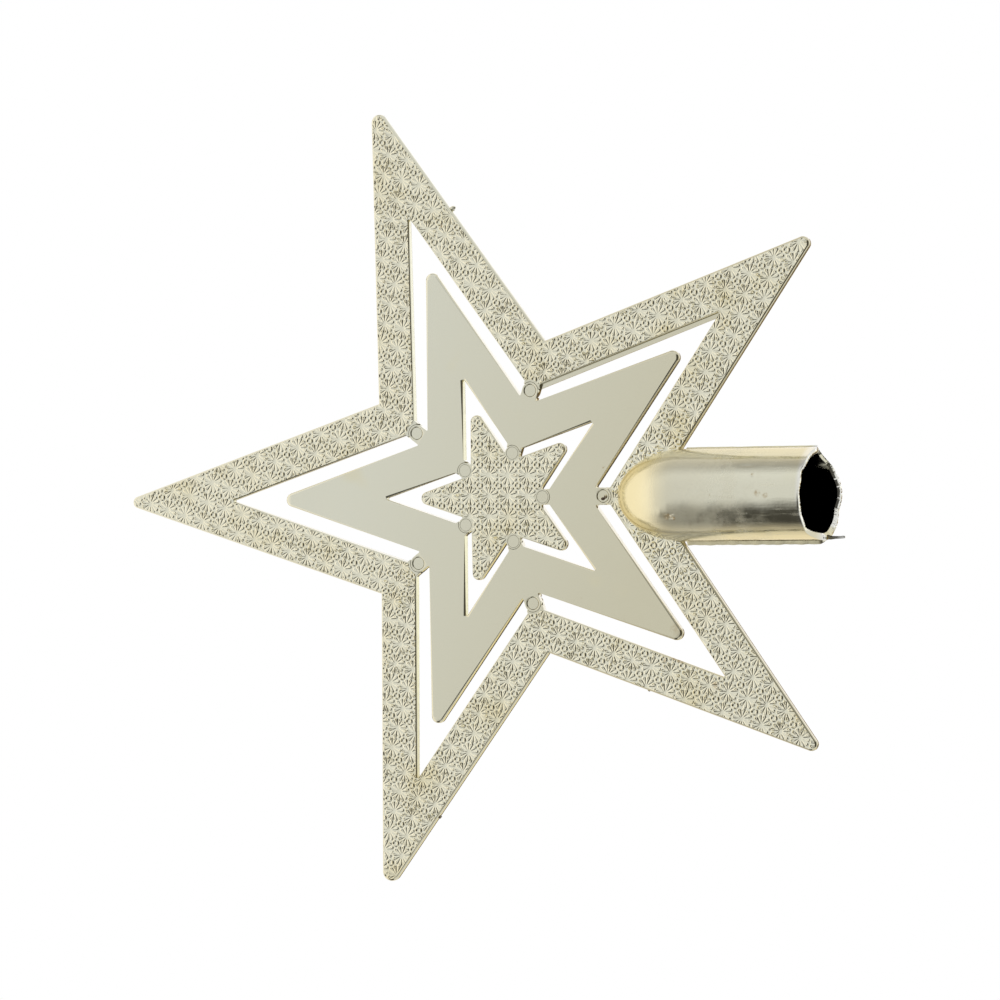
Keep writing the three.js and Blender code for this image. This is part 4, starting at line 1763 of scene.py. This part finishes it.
# How bright they are from front to back, on the lit side and on the dark side
LIT_SIDE = (
    (-1.0, 0.78), (-0.85, 0.79), (-0.6, 0.86), (-0.45, 0.66), (-0.25, 0.43), (-0.05, 0.52), (0.12, 0.68),
    (0.33, 0.97), (1.0, 1.0),
)
DARK_SIDE = (
    (-1.0, 0.1), (-0.7, 0.07), (-0.3, 0.06), (-0.16, 0.2), (0.0, 0.41), (0.16, 0.6), (0.34, 0.8),
    (0.55, 0.94), (1.0, 1.0),
)
DARK_TINT = (1.0, 0.95, 0.82)
LIGHT_FROM = (0.6, 0.0, 0.8)
LIT = (-0.12, 0.22)
# Where the tint of the front goes over to that of the back
TINT_TURNS = (-0.5, 0.1)
# The soft light overhead, and the gold high up behind that only the nose's rim sees
OVERHEAD = (1.16, 1.13, 1.08)
OVERHEAD_HEIGHT = (0.42, 0.8, 0.0, 0.9)
RIM_GLOW = (0.8, 0.66, 0.36)
RIM_GLOW_HEIGHT = (0.44, 0.56)
RIM_GLOW_BACK = (0.5, 0.68)
# The pale light from below, on the sides and behind
FLOOR_LIGHT = (0.8, 0.82, 0.84)
FLOOR_LIGHT_HEIGHT = (0.0, 0.18, 1.0, 0.0)
FLOOR_LIGHT_SIDES = (0.45, 0.6)
FLOOR_LIGHT_BACK = (-0.3, 0.1)
FLOOR_LIGHT_FRONT = (-0.84, -0.7)
# The softer light straight in front, and how far it reaches from its middle
FRONT_GLOW = (0.42, 0.405, 0.35)
FRONT_GLOW_FROM = (0.0, -0.9986, -0.05)
FRONT_GLOW_REACH = (0.05, 0.15, 1.0, 0.0)
# What lies low behind the object, from -X to +X, as the plates' walls see it
BEHIND = (
    (-0.46, (1.1, 0.98, 0.6)),
    (-0.39, (0.1, 0.07, 0.035)),
    (-0.25, (0.05, 0.035, 0.02)),
    (-0.17, (0.3, 0.21, 0.09)),
    (-0.12, (0.55, 0.42, 0.2)),
    (-0.05, (1.2, 1.22, 1.05)),
    (0.15, (1.22, 1.24, 1.4)),
)
BEHIND_HEIGHT = (0.3, 0.36, 1.0, 0.0)
BEHIND_FROM = (0.82, 0.86)
# A dark band straight behind, which only the walls' back edges see
BACK_BAND = (0.3, 0.21, 0.09)
BACK_BAND_FROM = (0.962, 0.972)
WHITE = (1.0, 1.0, 1.0)


def brightness_ramp(nodes, value, stops):
    """A ramp over the front-to-back direction."""
    ramp = nodes.add("ShaderNodeValToRGB")
    elements = ramp.color_ramp.elements
    while len(elements) < len(stops):
        elements.new(0.5)
    for element, (place, level) in zip(elements, stops):
        element.position = (place + 1) / 2
        element.color = (level, level, level, 1.0)
    nodes.join(value, ramp.inputs["Fac"])
    return ramp.outputs["Color"]


def behind_by_side(nodes, x):
    """The colours that lie behind, blended one after another from -X to +X."""
    reached, colour_there = BEHIND[0]
    for next_reached, next_colour in BEHIND[1:]:
        share_done = nodes.between(x, reached, next_reached, interpolation="LINEAR")
        colour_there = nodes.mix(share_done, colour_there, next_colour)
        reached = next_reached
    return colour_there


def light_by_side(nodes, studio, direction_to, y):
    """The lit side and the dark side, brighter towards the back and tinted."""
    ahead = nodes.between(y, -1.0, 1.0, interpolation="LINEAR")
    lit = brightness_ramp(nodes, ahead, LIT_SIDE)
    dark = nodes.mix(1.0, brightness_ramp(nodes, ahead, DARK_SIDE), DARK_TINT, "MULTIPLY")
    slant = nodes.vector_math("DOT_PRODUCT", direction_to, LIGHT_FROM)
    level = nodes.mix(nodes.between(slant, *LIT), dark, lit)
    tint = nodes.mix(nodes.between(y, *TINT_TURNS), tuple(studio.front), tuple(studio.white))
    return nodes.mix(1.0, level, tint, "MULTIPLY")


def add_surroundings(scene):
    """White to the camera. Metal sees white behind, soft light in front and above, and a darker side."""
    world = bpy.data.worlds.new("soft_studio")
    scene.world = world
    nodes = Nodes(world, "ShaderNodeOutputWorld")
    direction_to = nodes.add("ShaderNodeTexCoord").outputs["Generated"]
    x, y, z = nodes.split(direction_to)
    level = light_by_side(nodes, scene.topper_studio, direction_to, y)
    level = nodes.mix(nodes.between(z, *OVERHEAD_HEIGHT), level, OVERHEAD)
    high = nodes.between(z, *RIM_GLOW_HEIGHT)
    rim = nodes.math("MULTIPLY", high, nodes.between(y, *RIM_GLOW_BACK))
    level = nodes.mix(rim, level, RIM_GLOW)
    sides = nodes.between(nodes.math("ABSOLUTE", x), *FLOOR_LIGHT_SIDES)
    around = nodes.math("MAXIMUM", sides, nodes.between(y, *FLOOR_LIGHT_BACK))
    around = nodes.math("MULTIPLY", around, nodes.between(y, *FLOOR_LIGHT_FRONT))
    low = nodes.between(z, *FLOOR_LIGHT_HEIGHT)
    level = nodes.mix(nodes.math("MULTIPLY", low, around), level, FLOOR_LIGHT)
    apart = nodes.vector_math("DISTANCE", direction_to, FRONT_GLOW_FROM)
    level = nodes.mix(nodes.between(apart, *FRONT_GLOW_REACH), level, FRONT_GLOW)
    below = nodes.between(z, *BEHIND_HEIGHT)
    back = nodes.math("MULTIPLY", nodes.between(y, *BEHIND_FROM), below)
    level = nodes.mix(back, level, behind_by_side(nodes, x))
    band = nodes.math("MULTIPLY", nodes.between(y, *BACK_BAND_FROM), below)
    level = nodes.mix(band, level, BACK_BAND)
    seen = nodes.add("ShaderNodeBackground")
    nodes.join(level, seen.inputs["Color"])
    white = nodes.add("ShaderNodeBackground")
    nodes.feed(WHITE, white.inputs["Color"])
    path = nodes.add("ShaderNodeLightPath")
    nodes.surface(nodes.either(path.outputs["Is Camera Ray"], seen, white))


class TOPPER_PT_panel(bpy.types.Panel):
    """Lists the topper's pieces and sizes"""

    bl_label = "Star tree topper"
    bl_idname = "TOPPER_PT_panel"
    bl_space_type = "VIEW_3D"
    bl_region_type = "UI"
    bl_category = "Topper"

    def draw(self, context):
        for operator in OPERATORS:
            self.layout.operator(operator.bl_idname)
        for group in GROUPS:
            settings = getattr(context.scene, group)
            box = self.layout.box()
            for name in settings.__annotations__:
                box.prop(settings, name)


OPERATORS = (
    TOPPER_OT_stage,
    TOPPER_OT_outer_star,
    TOPPER_OT_outer_pattern,
    TOPPER_OT_middle_star,
    TOPPER_OT_inner_star,
    TOPPER_OT_joint_pins,
    TOPPER_OT_socket,
    TOPPER_OT_flash,
)


def register():
    """Adds the sizes, the operators and the panel to Blender."""
    for group in GROUPS.values():
        bpy.utils.register_class(group)
    for name, group in GROUPS.items():
        setattr(bpy.types.Scene, name, PointerProperty(type=group))
    for operator in OPERATORS:
        bpy.utils.register_class(operator)
    bpy.utils.register_class(TOPPER_PT_panel)


def unregister():
    """Takes them out again."""
    bpy.utils.unregister_class(TOPPER_PT_panel)
    for operator in reversed(OPERATORS):
        bpy.utils.unregister_class(operator)
    for name in GROUPS:
        delattr(bpy.types.Scene, name)
    for group in reversed(list(GROUPS.values())):
        bpy.utils.unregister_class(group)


def main():
    """Builds the whole topper on its stage."""
    register()
    bpy.ops.topper.stage()
    bpy.ops.topper.outer_star()
    bpy.ops.topper.outer_pattern()
    bpy.ops.topper.middle_star()
    bpy.ops.topper.inner_star()
    bpy.ops.topper.joint_pins()
    bpy.ops.topper.socket()
    bpy.ops.topper.flash()


if __name__ == "__main__":
    main()
